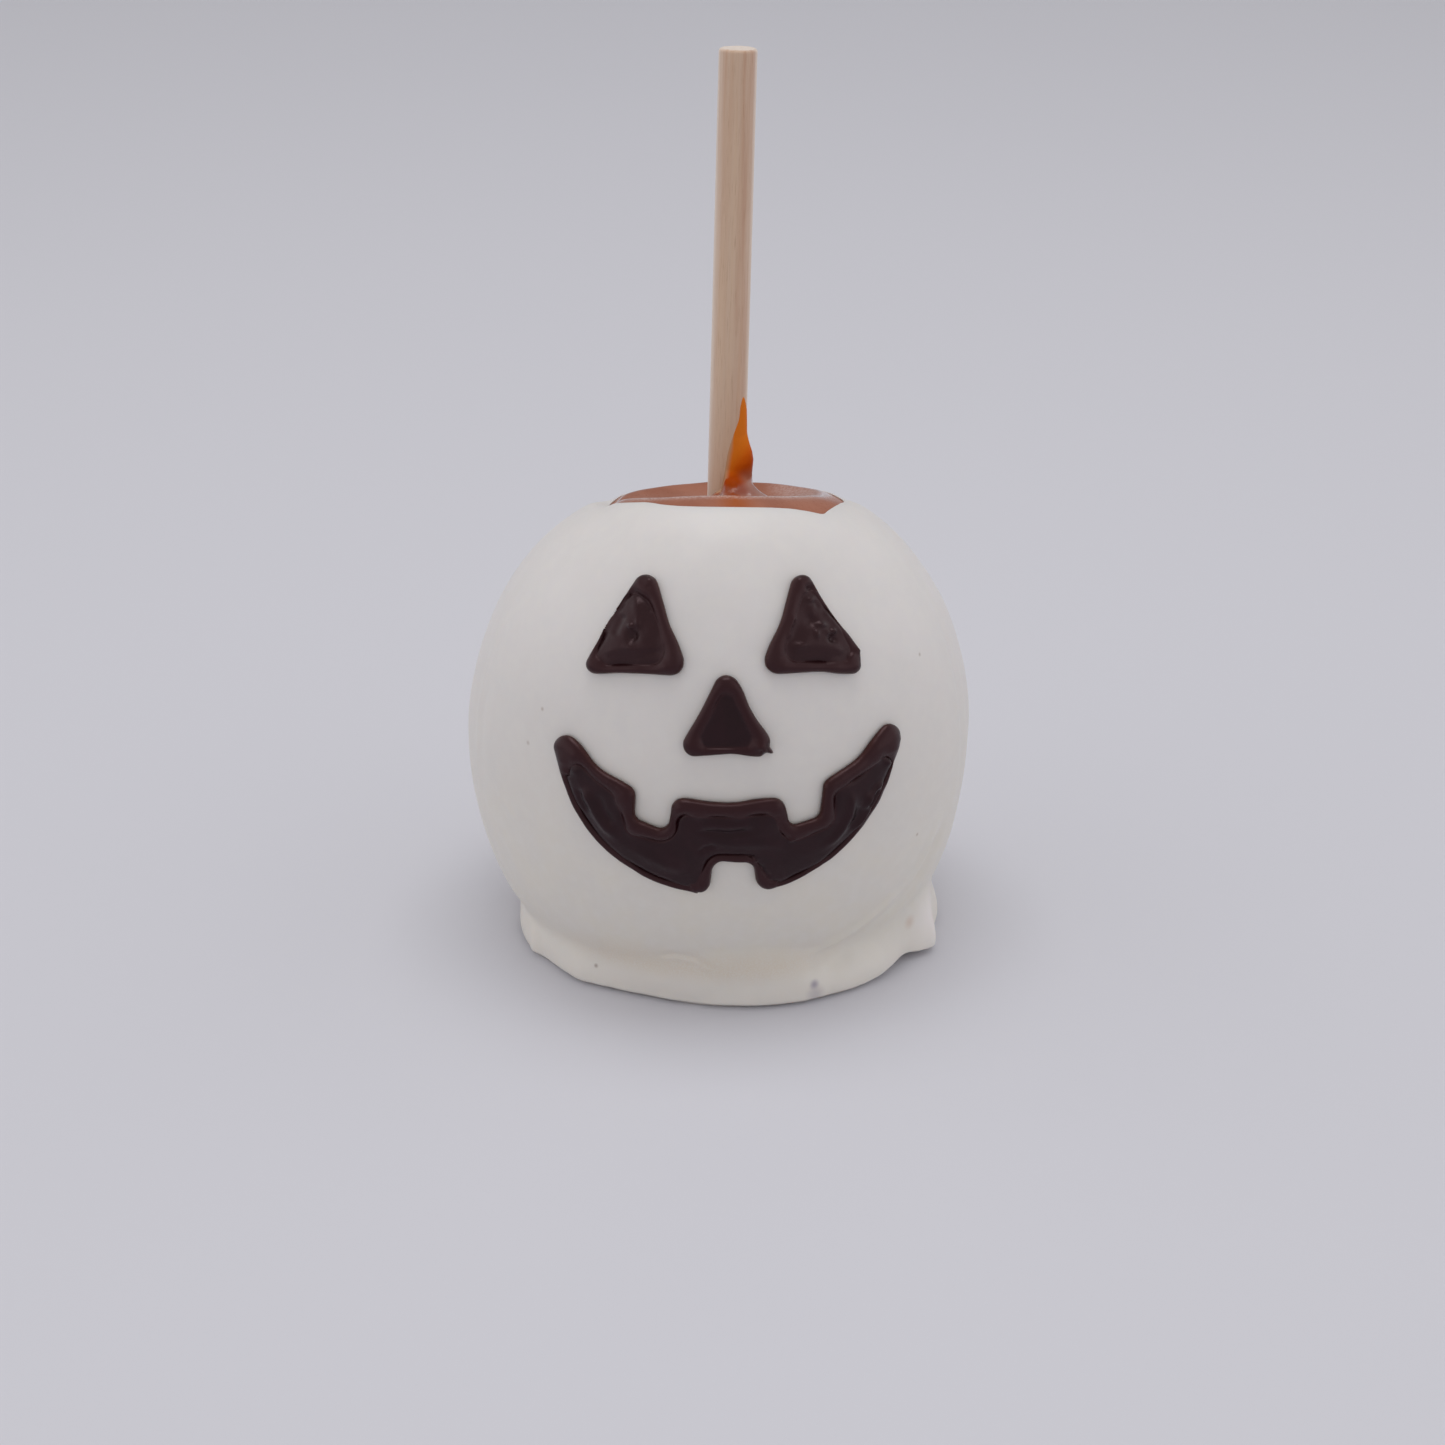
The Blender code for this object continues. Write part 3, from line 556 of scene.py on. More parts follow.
# %% The drip
DRIP_EDGE = (
    (-180, 79.0), (-135, 79.4), (-126, 80.9), (-112, 82.0), (-103.5, 83.5), (-95.7, 86.1), (-88.5, 89.2),
    (-79, 91.2), (-69.5, 92.8), (-61, 94.0), (-54.5, 94.9), (-51.5, 96.9), (-45.5, 98.0), (-40, 98.5),
    (-33, 98.2), (-24, 97.3), (-12, 96.0), (2, 93.5), (18, 90.0), (34, 86.5), (48, 83.5), (62, 81.0),
    (76, 79.0), (180, 79.0))
DRIP_ROWS = 100
DRIP_SOFTENING = 2
COLLAR_TOP = 0.35 * MM
TALL_AT = COLLAR_TOP + 5.0 * MM
ROW_POWER, TALL_ROW_POWER = 1.35, 0.35
FILLET_POWER = 2.9
FILLET_RISE = 4.2 * MM
BEAD = (
    (79.0, 1.2), (83.0, 1.15), (84.6, 1.05), (87.0, 1.2), (88.5, 0.95), (90.3, 0.42), (91.8, 0.06),
    (99.0, 0.0))
BEAD_LEFT, BEAD_RIGHT = (-104.0, -19.0), (62.0, 12.0)
BEAD_EASE = 2.5 * MM
FILM_DEPTH = 0.14 * MM
FILM_REACH = 1.5
TOP_EASE, TOP_KEPT = 0.3 * MM, 0.15
DRIP_FOLDS = ((-80, 83.9, 10.4), (-61, 83.2, 8.0), (-94, 83.3, 4.8))
FOLD_SLANT, FOLD_HALF_WIDTH, FOLD_DEPTH = 0.012, 0.3, 0.35 * MM
COVERED_REACH, COVERED_FROM, COVERED_TO = 3.0, 0.8, 2.0


def round_stick(azimuth, radius, height):
    """Points at a radius from the stick's leaning axis and a height above the ground."""
    along = (height - CREST_HEIGHT) / stick_along.z
    return STICK_AT_BOWL + np.array(stick_along) * along[..., None] + spoke(azimuth) * radius[..., None]


def drip_surface(azimuth, floor_ring):
    """Rings from the bowl's floor up the stick, as thick as fillet plus bead plus film, eased at the top."""
    turn = wrapped(azimuth)
    degrees = np.degrees(turn)
    floor = floor_ring[:, 2]
    top = soften(np.maximum(between(degrees, DRIP_EDGE) * MM, floor + COLLAR_TOP), DRIP_SOFTENING)
    tall = ease(top - floor, COLLAR_TOP, TALL_AT)
    t = np.linspace(0.0, 1.0, DRIP_ROWS)[1:, None]
    height = floor + (top - floor) * t ** (ROW_POWER + TALL_ROW_POWER * tall)
    above = height - floor
    fillet_rise = np.minimum(COLLAR_TOP + (FILLET_RISE - COLLAR_TOP) * tall, top - floor)
    fillet = (BOWL_FLOOR_RADIUS - STICK_RADIUS) * np.clip(1.0 - above / fillet_rise, 0.0, 1.0) ** FILLET_POWER
    side = ease(degrees, *BEAD_LEFT) * ease(degrees, *BEAD_RIGHT)
    bead = between(height / MM, BEAD) * MM * side * smooth(above / BEAD_EASE)
    around_edge = [(math.radians(place) * STICK_RADIUS / MM, rise) for place, rise in DRIP_EDGE]
    from_edge = np.abs(path_distance((turn + 0 * t) * STICK_RADIUS / MM, height / MM, around_edge)[0])
    thick = fillet + (bead + FILM_DEPTH) * np.sqrt(np.clip(from_edge / FILM_REACH, 0.0, 1.0))
    fold = 0.0
    for place, rise, wide in DRIP_FOLDS:
        beside = degrees - place
        fold = fold + bell(beside, wide) * bell(height / MM - rise - FOLD_SLANT * beside, FOLD_HALF_WIDTH)
    thick = (thick + FOLD_DEPTH * fold) * smooth((top - height) / TOP_EASE + TOP_KEPT)
    from_edge = from_edge + COVERED_REACH * ease(thick / MM, COVERED_FROM, COVERED_TO)
    rings = round_stick(azimuth + 0 * t, STICK_RADIUS + thick, height)
    return rings, {"depth": thick / MM, "from_edge": from_edge, "fold": fold, "top": top}


print("top of the drip, mm:", max(height for _, height in DRIP_EDGE))

# %% [markdown]
# ### Numbers for the finish
#
# One mesh holds milky, clear and wet caramel, so the build leaves numbers on
# its points for the finish to read: how deep the caramel is, how far from the
# drip's edge, how clear, where light that came through the drip glows on the
# near ridge, where the surface is wet, and where highlights are painted in:
# a painted sheen along the crest and on the right rim, and painted glints on
# the folds at the drip's foot.

# %% Build the caramel
CARAMEL_COLUMNS = 460
SUNK = 0.25 * MM
DEEP = 4.0
LOW_DEPTH = 0.7
MILKY_TURN, MILKY_HEIGHT, MILKY_SHARE = (-66.0, -40.0), (86.8, 84.3), 0.7
CLEAR_TURN, CLEAR_DEPTH = (-124.0, -110.0), (6.8, 4.6)
EDGE_REACH_HIGH, EDGE_REACH_LOW = 0.06, 0.9
NEAR_SIDE = (-9.0, -13.0)
GLOW_ACROSS, GLOW_WIDE = 2.9, 2.7
RIM_ACROSS, RIM_RADIUS, RIM_WIDE = (7.0, 12.0), 16.4, 2.4
WET_RADIUS, WET_WIDE = 18.3, 0.8
WET_FOOT, WET_ALL, WET_CREST, WET_RIM = 0.9, 0.14, 0.8, 0.6
# Painted highlight: a pale line along the crest, a pale band on the right rim, and pale crescents on the
# drip's folds.
SHEEN_LINE_RADIUS, SHEEN_LINE_WIDE = 18.1, 1.0
SHEEN_ON_CREST, SHEEN_ON_RIM, GLINT_ON_FOLD, GLINT_POWER = 0.9, 0.55, 0.8, 4


def caramel_marks(rings, drip, made):
    """Numbers for the finish at each point, from its place in millimetres and what the drip's build made."""
    x, y, z = np.moveaxis(rings / MM, -1, 0)
    radius = np.hypot(x, y)
    turn = np.degrees(np.arctan2(y, x - STICK_AT_BOWL[0] / MM))
    on_drip = np.arange(len(rings))[:, None] >= drip.start
    depth, from_edge, fold = np.full_like(x, DEEP), np.full_like(x, DEEP), np.zeros_like(x)
    depth[drip], from_edge[drip], fold[drip] = made["depth"], made["from_edge"], made["fold"]
    depth += LOW_DEPTH * ease(z, 89.0, 84.0)
    from_edge /= EDGE_REACH_HIGH + EDGE_REACH_LOW * ease(z, 93.0, 89.0)
    milky = MILKY_SHARE * ease(turn, *MILKY_TURN) * ease(z, *MILKY_HEIGHT)
    near = ease(y, *NEAR_SIDE)
    rim = ease(x, *RIM_ACROSS) * bell(radius - RIM_RADIUS, RIM_WIDE)
    wet = WET_ALL + WET_CREST * bell(radius - WET_RADIUS, WET_WIDE) + WET_RIM * rim
    # Painted sheen: pale along the near crest and over the right rim, standing for highlights.
    painted_sheen = SHEEN_ON_CREST * bell(radius - SHEEN_LINE_RADIUS, SHEEN_LINE_WIDE) * near + SHEEN_ON_RIM * rim
    # Painted glints: pale crescents on the folds at the drip's foot.
    painted_glints = GLINT_ON_FOLD * np.clip(fold, 0.0, 1.0) ** GLINT_POWER
    return {
        "depth": depth,
        "from_edge": from_edge,
        "clear": on_drip * (1.0 - milky) * ease(depth, *CLEAR_DEPTH) * ease(turn, *CLEAR_TURN),
        "glow": ~on_drip * near * bell(x - GLOW_ACROSS, GLOW_WIDE),
        "wet": np.clip(np.where(on_drip, WET_FOOT * ease(z, 84.5, 83.8) + fold, wet), 0.0, 1.0),
        "painted_sheen": np.where(on_drip, painted_glints, painted_sheen),
    }


def caramel_surface():
    """All rings of the caramel, from base to drip, then a bore hidden in the stick, and their numbers."""
    azimuth = column_azimuths(CARAMEL_COLUMNS)
    sides = side_rings(azimuth, INSIDE_ROWS)[:0:-1]
    bowl = bowl_surface(azimuth)
    drip_rings, made = drip_surface(azimuth, bowl[-1])
    inner = np.full_like(azimuth, STICK_RADIUS - SUNK)
    bottom = np.full_like(azimuth, STICK_TOP - STICK_LENGTH - 2 * SUNK)
    bore = [round_stick(azimuth, inner, height)[None] for height in (made["top"], bottom)]
    rings = np.concatenate([sides, bowl, drip_rings, *bore])
    first = len(sides) + len(bowl)
    return rings, caramel_marks(rings, slice(first, first + len(drip_rings)), made)


caramel_rings, marks = caramel_surface()
caramel_mesh = turned_mesh("caramel", caramel_rings)
for name, values in marks.items():
    store(caramel_mesh, name, np.append(values.ravel(), [0.0, 0.0]))
caramel = finish_piece(caramel_mesh, "caramel", "caramel_apple")

# %% [markdown]
# ## The piped face
#
# The face was piped in two goes: a rope of dark chocolate round each figure,
# with a blob where it turned a corner, and then a filling squeezed inside it.
# So each figure is two outlines drawn flat, the rope's and the filling's, and
# each outline is a belt pulled round blobs: a place, a radius, below zero where
# the belt bends inwards, and the sag of the stretch that follows.

# %% Draw the figures
OUTLINE_STEP = 0.28 * MM
CLOSEST_POINTS = 0.3 * OUTLINE_STEP
SLICE = 2000
ROPES = {
    "left_eye": (
        (-20.2, 44.3, 1.6, 0.2), (-8.0, 44.6, 2.3, 0.4), (-12.0, 56.9, 2.0, -0.2)),
    "right_eye": (
        (9.6, 44.8, 2.3, 0.3), (21.6, 44.2, 1.5, 0.0), (22.2, 46.4, 0.8, 0.4), (13.4, 56.8, 1.9, 0.5)),
    "nose": (
        (-4.0, 31.2, 2.0, 0.4), (6.2, 31.1, 1.9, 0.35), (8.6, 29.9, 0.16, 0.3), (6.5, 31.5, 1.8, 0.4),
        (1.2, 40.2, 2.2, 0.2)),
    "mouth": (
        (-25.5, 30.8, 1.9, 0.0), (-0.3, 33.2, 27.0, 0.0), (-3.3, 8.5, 1.9, 0.0), (0.7, 9.9, -1.9, 0.0),
        (4.1, 10.0, -1.7, 0.0), (8.1, 9.1, 2.1, 0.0), (0.4, 35.2, 29.3, 0.0), (29.2, 32.2, 0.8, 0.0),
        (28.2, 32.9, 1.7, 0.9), (18.8, 24.0, 1.8, 0.0), (15.2, 20.3, -1.4, 0.0), (12.5, 19.3, -1.3, 0.0),
        (8.9, 20.4, 2.0, 0.6), (-6.0, 20.3, 2.0, 0.0), (-9.8, 18.9, -1.5, 0.0), (-12.3, 20.0, -1.6, 0.0),
        (-15.7, 22.7, 1.8, 0.9))}
FILLINGS = {
    "left_eye": (
        (-17.6, 46.3, 2.2, 0.0), (-11.1, 46.4, 2.2, -0.2), (-13.5, 53.2, 2.5, -0.6)),
    "right_eye": (
        (12.5, 46.7, 2.0, 0.0), (19.2, 46.5, 1.9, -0.5), (14.6, 54.3, 1.4, 0.0)),
    "nose": (
        (-1.6, 32.3, 1.55, 0.0), (3.75, 32.3, 1.55, 0.0), (1.2, 38.1, 1.3, 0.0)),
    "mouth": (
        (-23.3, 26.6, 1.35, 0.0), (-0.3, 33.2, 26.0, 0.0), (-4.6, 9.3, 1.2, 0.0), (0.2, 10.3, -2.75, 0.0),
        (4.0, 10.3, -2.75, 0.0), (9.0, 10.2, 1.5, 0.0), (0.4, 35.2, 28.45, 0.0), (27.1, 28.0, 1.2, 0.3),
        (20.4, 22.6, 1.6, 0.0), (16.2, 19.8, -2.5, 0.0), (12.2, 18.3, -2.6, 0.0), (7.9, 18.4, 1.5, 0.35),
        (-5.3, 18.2, 1.6, 0.0), (-9.6, 18.0, -2.7, 0.0), (-12.9, 18.9, -2.7, 0.0),
        (-18.3, 22.0, 1.6, 0.2))}


def belt(blobs):
    """Outline of a belt pulled round blobs: arcs round them, and tangents that sag by a squared sine."""
    data = np.array(blobs) * MM
    centre, radius, sag = data[:, :2], data[:, 2], data[:, 3]
    to_next = np.roll(centre, -1, 0) - centre
    distance = np.hypot(to_next[:, 0], to_next[:, 1])
    turn_in = np.arcsin(np.clip((radius - np.roll(radius, -1)) / distance, -1.0, 1.0))
    heading = np.arctan2(to_next[:, 1], to_next[:, 0]) + turn_in
    points = []
    for i in range(len(blobs)):
        following = (i + 1) % len(blobs)
        turn = wrapped(heading[i] - heading[i - 1])
        count = max(3, int(abs(turn * radius[i]) / OUTLINE_STEP) + 2)
        angle = heading[i - 1] - math.pi / 2 + np.linspace(0.0, 1.0, count)[:-1] * turn
        points.append(centre[i] + radius[i] * spoke(angle)[:, :2])
        side = np.array([math.cos(heading[i] - math.pi / 2), math.sin(heading[i] - math.pi / 2)])
        start = centre[i] + radius[i] * side
        end = centre[following] + radius[following] * side
        count = max(3, int(np.hypot(*(end - start)) / OUTLINE_STEP) + 1)
        t = np.linspace(0.0, 1.0, count)[:-1, None]
        points.append(start + (end - start) * t - side * sag[i] * np.sin(math.pi * t) ** 2)
    outline = np.concatenate(points)
    return outline[np.linalg.norm(np.roll(outline, -1, 0) - outline, axis=1) > CLOSEST_POINTS]


def inward(outline):
    """Unit directions to the left of an outline's course, which is its inside."""
    ahead = np.roll(outline, -1, 0) - np.roll(outline, 1, 0)
    return unit(np.stack([-ahead[:, 1], ahead[:, 0]], -1))


def distance_inside(points, outline):
    """How far each point lies inside an outline, below zero outside: nearest edge, and a crossing count."""
    along = np.roll(outline, -1, 0) - outline
    rise = np.where(np.abs(along[:, 1]) < TINY, TINY, along[:, 1])
    found = []
    for some in np.array_split(points, max(1, len(points) // SLICE)):
        offset = some[:, None] - outline[None]
        share = np.clip((offset * along).sum(-1) / (along ** 2).sum(-1), 0.0, 1.0)
        apart = np.linalg.norm(offset - share[..., None] * along, axis=-1).min(1)
        level = some[:, None, 1]
        straddles = (outline[None, :, 1] > level) != ((outline + along)[None, :, 1] > level)
        crossing = outline[:, 0] + along[:, 0] * (level - outline[:, 1]) / rise
        inside = (straddles & (some[:, None, 0] < crossing)).sum(1) % 2 == 1
        found.append(np.where(inside, apart, -apart))
    return np.concatenate(found)


print("points of each rope's outline:", {node: len(belt(blobs)) for node, blobs in ROPES.items()})

# %% [markdown]
# ### Relief of the piping
#
# The rope fills the band between the two outlines, so it is broad in the
# corners and narrow at the sides. Each filling has its own dabs, where the
# nozzle stopped or was pulled away, and strokes, where it was dragged along:
# heights and sizes read off the real piping and written down here. A dab is a
# place, a height and two half-widths, a stroke a height, a half-width and a path.

# %% Ropes, creases and fills
ROPE_HEIGHT = 1.45 * MM
USUAL_HALF_WIDTH = 0.75 * MM
WIDTH_LIMITS = (0.4, 1.9)
ROPE_GROWTH = 0.4
ROPE_NOISE = ((0.07, 4.0, 0), (0.04, 1.7, 1))
RIM_HEIGHT = 0.45 * MM
OUTER_SHARPNESS, INNER_SHARPNESS, SHOULDER_SHARPNESS = 0.5, 0.9, 0.85
CREASE_SHARE = 0.7
CREASE_LIMITS = (0.5, 0.9)
CREASE_NOISE = ((0.22, 3.2, 2),)
FILL_NOISE = ((0.06, 2.6, 3), (0.012, 0.8, 4))
MARK_GAIN = 1.7
STROKE_ENDS = 0.25
MARKS_FROM_EDGE = 0.8 * MM
BELLY_REACH = 3.2 * MM
ROPE_TINT_REACH = 0.35 * MM
DABS = {
    "left_eye": (
        (-13.7, 48.7, -0.5, 0.8, 1.0), (-14.0, 50.3, 0.4, 0.5, 0.45), (-12.9, 50.8, 0.28, 0.4, 0.7),
        (-14.4, 46.8, 0.14, 1.2, 0.6), (-10.6, 46.1, -0.2, 1.0, 0.6), (-11.0, 49.8, 0.14, 0.8, 1.3),
        (-10.9, 57.9, 0.22, 0.7, 0.8), (-11.1, 56.5, -0.2, 0.2, 0.2)),
    "right_eye": (
        (14.6, 51.2, -0.4, 1.0, 1.1), (16.2, 50.6, 0.3, 0.7, 0.35), (15.4, 49.1, 0.25, 0.35, 0.6),
        (18.2, 49.6, 0.5, 0.42, 0.4), (18.0, 48.3, -0.42, 0.7, 0.6), (17.2, 49.4, 0.2, 0.5, 0.3),
        (22.4, 46.7, 0.3, 0.45, 0.5), (12.5, 47.2, 0.2, 1.2, 0.5), (14.5, 56.5, -0.45, 0.8, 0.5),
        (12.5, 58.0, 0.2, 0.5, 0.7), (14.6, 54.6, 0.2, 0.8, 0.6)),
    "nose": ((6.5, 31.1, 0.3, 0.9, 0.6), (7.1, 30.4, 0.3, 0.35, 0.3), (6.6, 30.4, -0.25, 0.3, 0.25)),
    "mouth": (
        (27.6, 28.5, 0.3, 0.7, 0.8), (24.2, 22.6, 0.2, 0.7, 1.0), (12.0, 15.9, 0.25, 0.3, 0.3),
        (11.4, 15.7, 0.25, 0.25, 0.25), (5.9, 12.4, 0.35, 0.35, 0.3), (5.3, 12.9, -0.3, 0.5, 0.2),
        (-8.0, 12.4, 0.12, 3.0, 1.5), (-23.5, 27.0, 0.15, 0.7, 0.7))}
STROKES = {
    "left_eye": (
        (-0.18, 0.4, ((-16.0, 54.3), (-13.8, 56.1), (-11.7, 54.4), (-10.2, 51.8))),
        (-0.3, 0.8, ((-15.4, 52.6), (-16.1, 50.6), (-17.0, 48.6))),
        (-0.12, 0.8, ((-14.8, 55.4), (-17.2, 51.6), (-19.4, 47.4))),
        (0.16, 0.8, ((-13.4, 55.2), (-12.9, 53.0), (-12.8, 51.0)))),
    "right_eye": (
        (0.2, 0.5, ((16.6, 53.0), (18.2, 51.4), (20.6, 48.6))),
        (-0.14, 0.35, ((14.2, 53.7), (15.3, 54.2), (16.2, 53.3))),
        (0.2, 0.45, ((12.0, 52.4), (11.4, 50.0), (10.9, 48.0))),
        (0.18, 0.35, ((20.4, 45.6), (21.1, 45.5), (21.5, 46.2)))),
    "nose": ((0.1, 0.3, ((-2.4, 30.6), (1.2, 30.5), (4.8, 30.7))),),
    "mouth": (
        (0.34, 0.75, ((-22.4, 24.6), (-21.5, 22.6), (-20.3, 20.4), (-18.6, 17.8), (-16.0, 15.4))),
        (-0.24, 0.5, ((-23.2, 24.4), (-22.4, 22.2), (-21.2, 19.8))),
        (-0.22, 0.7, ((-19.9, 23.4), (-19.0, 20.6), (-17.2, 17.8))),
        (0.1, 0.8, ((-14.5, 14.4), (-9.0, 11.6), (-5.5, 10.6))),
        (0.4, 0.42, ((26.9, 25.8), (25.4, 23.9), (24.3, 22.2), (23.6, 20.4))),
        (-0.3, 0.4, ((26.2, 24.6), (24.9, 22.2), (24.3, 20.4))),
        (0.34, 0.4, ((27.2, 25.4), (26.2, 23.4), (24.9, 21.0), (23.6, 18.9), (21.6, 16.6))),
        (0.28, 0.6, ((21.9, 24.0), (21.5, 22.0), (21.3, 19.9), (20.3, 17.9), (18.8, 15.9), (16.0, 13.6))),
        (-0.2, 0.6, ((22.9, 21.5), (22.4, 19.3), (20.8, 17.0))),
        (0.16, 0.6, ((-3.4, 18.5), (1.2, 18.1), (6.0, 18.6))),
        (-0.24, 0.45, ((-4.2, 17.3), (1.2, 16.8), (6.2, 17.4))),
        (0.12, 0.7, ((-3.0, 15.6), (2.0, 15.0), (8.0, 15.2), (12.0, 14.0))),
        (-0.2, 0.35, ((-3.4, 13.6), (-2.5, 14.4), (-0.2, 15.0))),
        (-0.15, 0.4, ((6.9, 11.8), (7.3, 10.3), (8.6, 9.4))))}
FILL_HEIGHT = {"left_eye": 1.05, "right_eye": 1.1, "nose": 0.98, "mouth": 1.35}
SHOULDER = {"left_eye": 1.35, "right_eye": 1.3, "nose": 0.6, "mouth": 0.9}
BELLY = {"left_eye": 0.6, "right_eye": 0.65, "nose": 0.0, "mouth": 0.2}
SEED = {"left_eye": 41, "right_eye": 51, "nose": 61, "mouth": 71}


def dome(share, sharpness):
    """Height of a rope over its half-width: one less the square of the share, to a power."""
    return np.clip(1.0 - share ** 2, 0.0, 1.0) ** sharpness


def piping_height(node, place, inside, within):
    """Rope over the band between the outlines, fill by a quarter round past the crease, and marks on both."""
    x, y = place.T / MM
    flat = np.pad(place, ((0, 0), (0, 1)))
    band = inside + np.maximum(-within, 0.0)
    share = inside / np.maximum(band, TINY)
    width = np.clip(band / 2 / USUAL_HALF_WIDTH, *WIDTH_LIMITS)
    tall = ROPE_HEIGHT * width ** ROPE_GROWTH * (1.0 + undulation(flat, ROPE_NOISE, SEED[node]))
    crease = tall * np.clip(CREASE_SHARE + undulation(flat, CREASE_NOISE, SEED[node]), *CREASE_LIMITS)
    outer = RIM_HEIGHT + (tall - RIM_HEIGHT) * dome(1.0 - 2 * share, OUTER_SHARPNESS)
    inner = crease + (tall - crease) * dome(2 * share - 1.0, INNER_SHARPNESS)
    rope = np.where(share < 0.5, outer, inner)
    marks = undulation(flat, FILL_NOISE, SEED[node])
    for at_x, at_y, height, wide, high in DABS[node]:
        marks += MARK_GAIN * height * bell(x - at_x, wide) * bell(y - at_y, high)
    for height, width, path in STROKES[node]:
        away, reach = path_distance(x, y, path)
        marks += MARK_GAIN * height * bell(away, width) * held(reach, STROKE_ENDS)
    shoulder = dome(1.0 - np.clip(within / (SHOULDER[node] * MM), 0.0, 1.0), SHOULDER_SHARPNESS)
    fill = crease + (FILL_HEIGHT[node] * MM - crease) * shoulder
    fill += BELLY[node] * MM * smooth(within / BELLY_REACH)
    height = np.where(within > 0.0, fill, rope) + marks * MM * smooth(inside / MARKS_FROM_EDGE)
    return height, smooth(1.0 - within / ROPE_TINT_REACH)


print("dabs and strokes:", sum(map(len, DABS.values())), "and", sum(map(len, STROKES.values())))

# %% [markdown]
# ### From the drawing to the apple
#
# The drawings are what someone sees who looks down at the apple from in front.
# Newton's method finds the place on the skin behind each of their points.

# %% Lay a drawing on the skin
FACE_TILT = math.radians(24)
TILTED_UP = np.array([0.0, math.sin(FACE_TILT), math.cos(FACE_TILT)])
ROPE_WAIST = 0.8 * MM
NEWTON_STEP = 1e-5
NEWTON_ROUNDS = 14
NEWTON_REACH = 0.1


def on_skin(points):
    """Angles of the skin whose rope waist lies behind points of the drawing, by Newton's method."""

    def seen(azimuth, latitude):
        place = off_skin(azimuth, latitude, ROPE_WAIST)
        return np.stack([place[:, 0], place @ TILTED_UP], -1)

    front = -np.sqrt(np.maximum(WIDEST_RADIUS ** 2 - points[:, 0] ** 2, 0.0))
    azimuth = np.arctan2(front, points[:, 0])
    latitude = points[:, 1] / WIDEST_RADIUS - FACE_TILT
    for _ in range(NEWTON_ROUNDS):
        here = seen(azimuth, latitude)
        by_azimuth = (seen(azimuth + NEWTON_STEP, latitude) - here) / NEWTON_STEP
        by_latitude = (seen(azimuth, latitude + NEWTON_STEP) - here) / NEWTON_STEP
        area = by_azimuth[:, 0] * by_latitude[:, 1] - by_azimuth[:, 1] * by_latitude[:, 0]
        miss = points - here
        turn = (miss[:, 0] * by_latitude[:, 1] - miss[:, 1] * by_latitude[:, 0]) / area
        climb = (by_azimuth[:, 0] * miss[:, 1] - by_azimuth[:, 1] * miss[:, 0]) / area
        azimuth = azimuth + np.clip(turn, -NEWTON_REACH, NEWTON_REACH)
        latitude = latitude + np.clip(climb, -NEWTON_REACH, NEWTON_REACH)
    return azimuth, latitude


def lay_on_coat(points, height):
    """Points of the drawing raised by a height above the coat, which has its own slow undulation."""
    azimuth, latitude = on_skin(points)
    return off_skin(azimuth, latitude, height + coat_relief(azimuth, skin(azimuth, latitude)) * MM)


print("a point between the eyes, mm:", (lay_on_coat(np.array([[0.0, 0.05]]), 0.0) / MM).round(1)[0])

# %% Build the figures
RIM_STEPS = (0.05, 0.12, 0.22, 0.36, 0.54)
CREASE_STEPS = (-0.26, -0.12, 0.0, 0.07, 0.16, 0.32)
KEPT_SHARE = 0.95
CLEAR_OF_RIM, CLEAR_OF_CREASE = 0.15, 0.12
LATTICE = 0.27 * MM
UNDER_LATTICE = 2.5 * MM
SKIRT_STEPS = ((0.10, 0.22), (0.22, 0.02), (0.30, -0.12))
OUTLINE_NOISE = ((0.1, 2.8, 5),)
RIM_STAIN = 0.22 * MM
MERGE_DISTANCE = 1e-4
PIPED_SHARP_ANGLE = 75.0


def lattice_inside(outline, step):
    """Staggered lattice over the box of an outline."""
    low, high = outline.min(0), outline.max(0)
    x, y = np.meshgrid(np.arange(low[0], high[0], step), np.arange(low[1], high[1], step))
    x[::2] += step / 2
    return np.stack([x.ravel(), y.ravel()], -1)


def inner_points(outline, fill):
    """Points inside an outline: copies drawn in from it, copies beside the fill's edge, and a lattice."""
    found = []
    for step in RIM_STEPS:
        drawn = outline + inward(outline) * step * MM
        found.append(drawn[distance_inside(drawn, outline) > KEPT_SHARE * step * MM])
    for step in CREASE_STEPS:
        drawn = fill + inward(fill) * step * MM
        clear = np.abs(distance_inside(drawn, fill)) > KEPT_SHARE * abs(step) * MM - TINY
        found.append(drawn[clear & (distance_inside(drawn, outline) > RIM_STEPS[1] * MM)])
    grid = lattice_inside(outline, LATTICE)
    off_rim = distance_inside(grid, outline) > (RIM_STEPS[-1] + CLEAR_OF_RIM) * MM
    within = distance_inside(grid, fill) / MM
    off_crease = (within < CREASE_STEPS[0] - CLEAR_OF_CREASE) | (within > CREASE_STEPS[-1] + CLEAR_OF_CREASE)
    return np.concatenate([*found, grid[off_rim & off_crease]])


def triangulate(outline, inner):
    """Triangles that fill an outline through inner points; the outline's own points come first."""
    count = len(outline)
    vertices = [Vector(point) for point in np.concatenate([outline, inner]) / MM]
    edges = [(i, (i + 1) % count) for i in range(count)]
    points, _, faces, *_ = delaunay_2d_cdt(vertices, edges, [list(range(count))], 1, MERGE_DISTANCE)
    return np.array([point[:] for point in points]) * MM, [list(face) for face in faces]


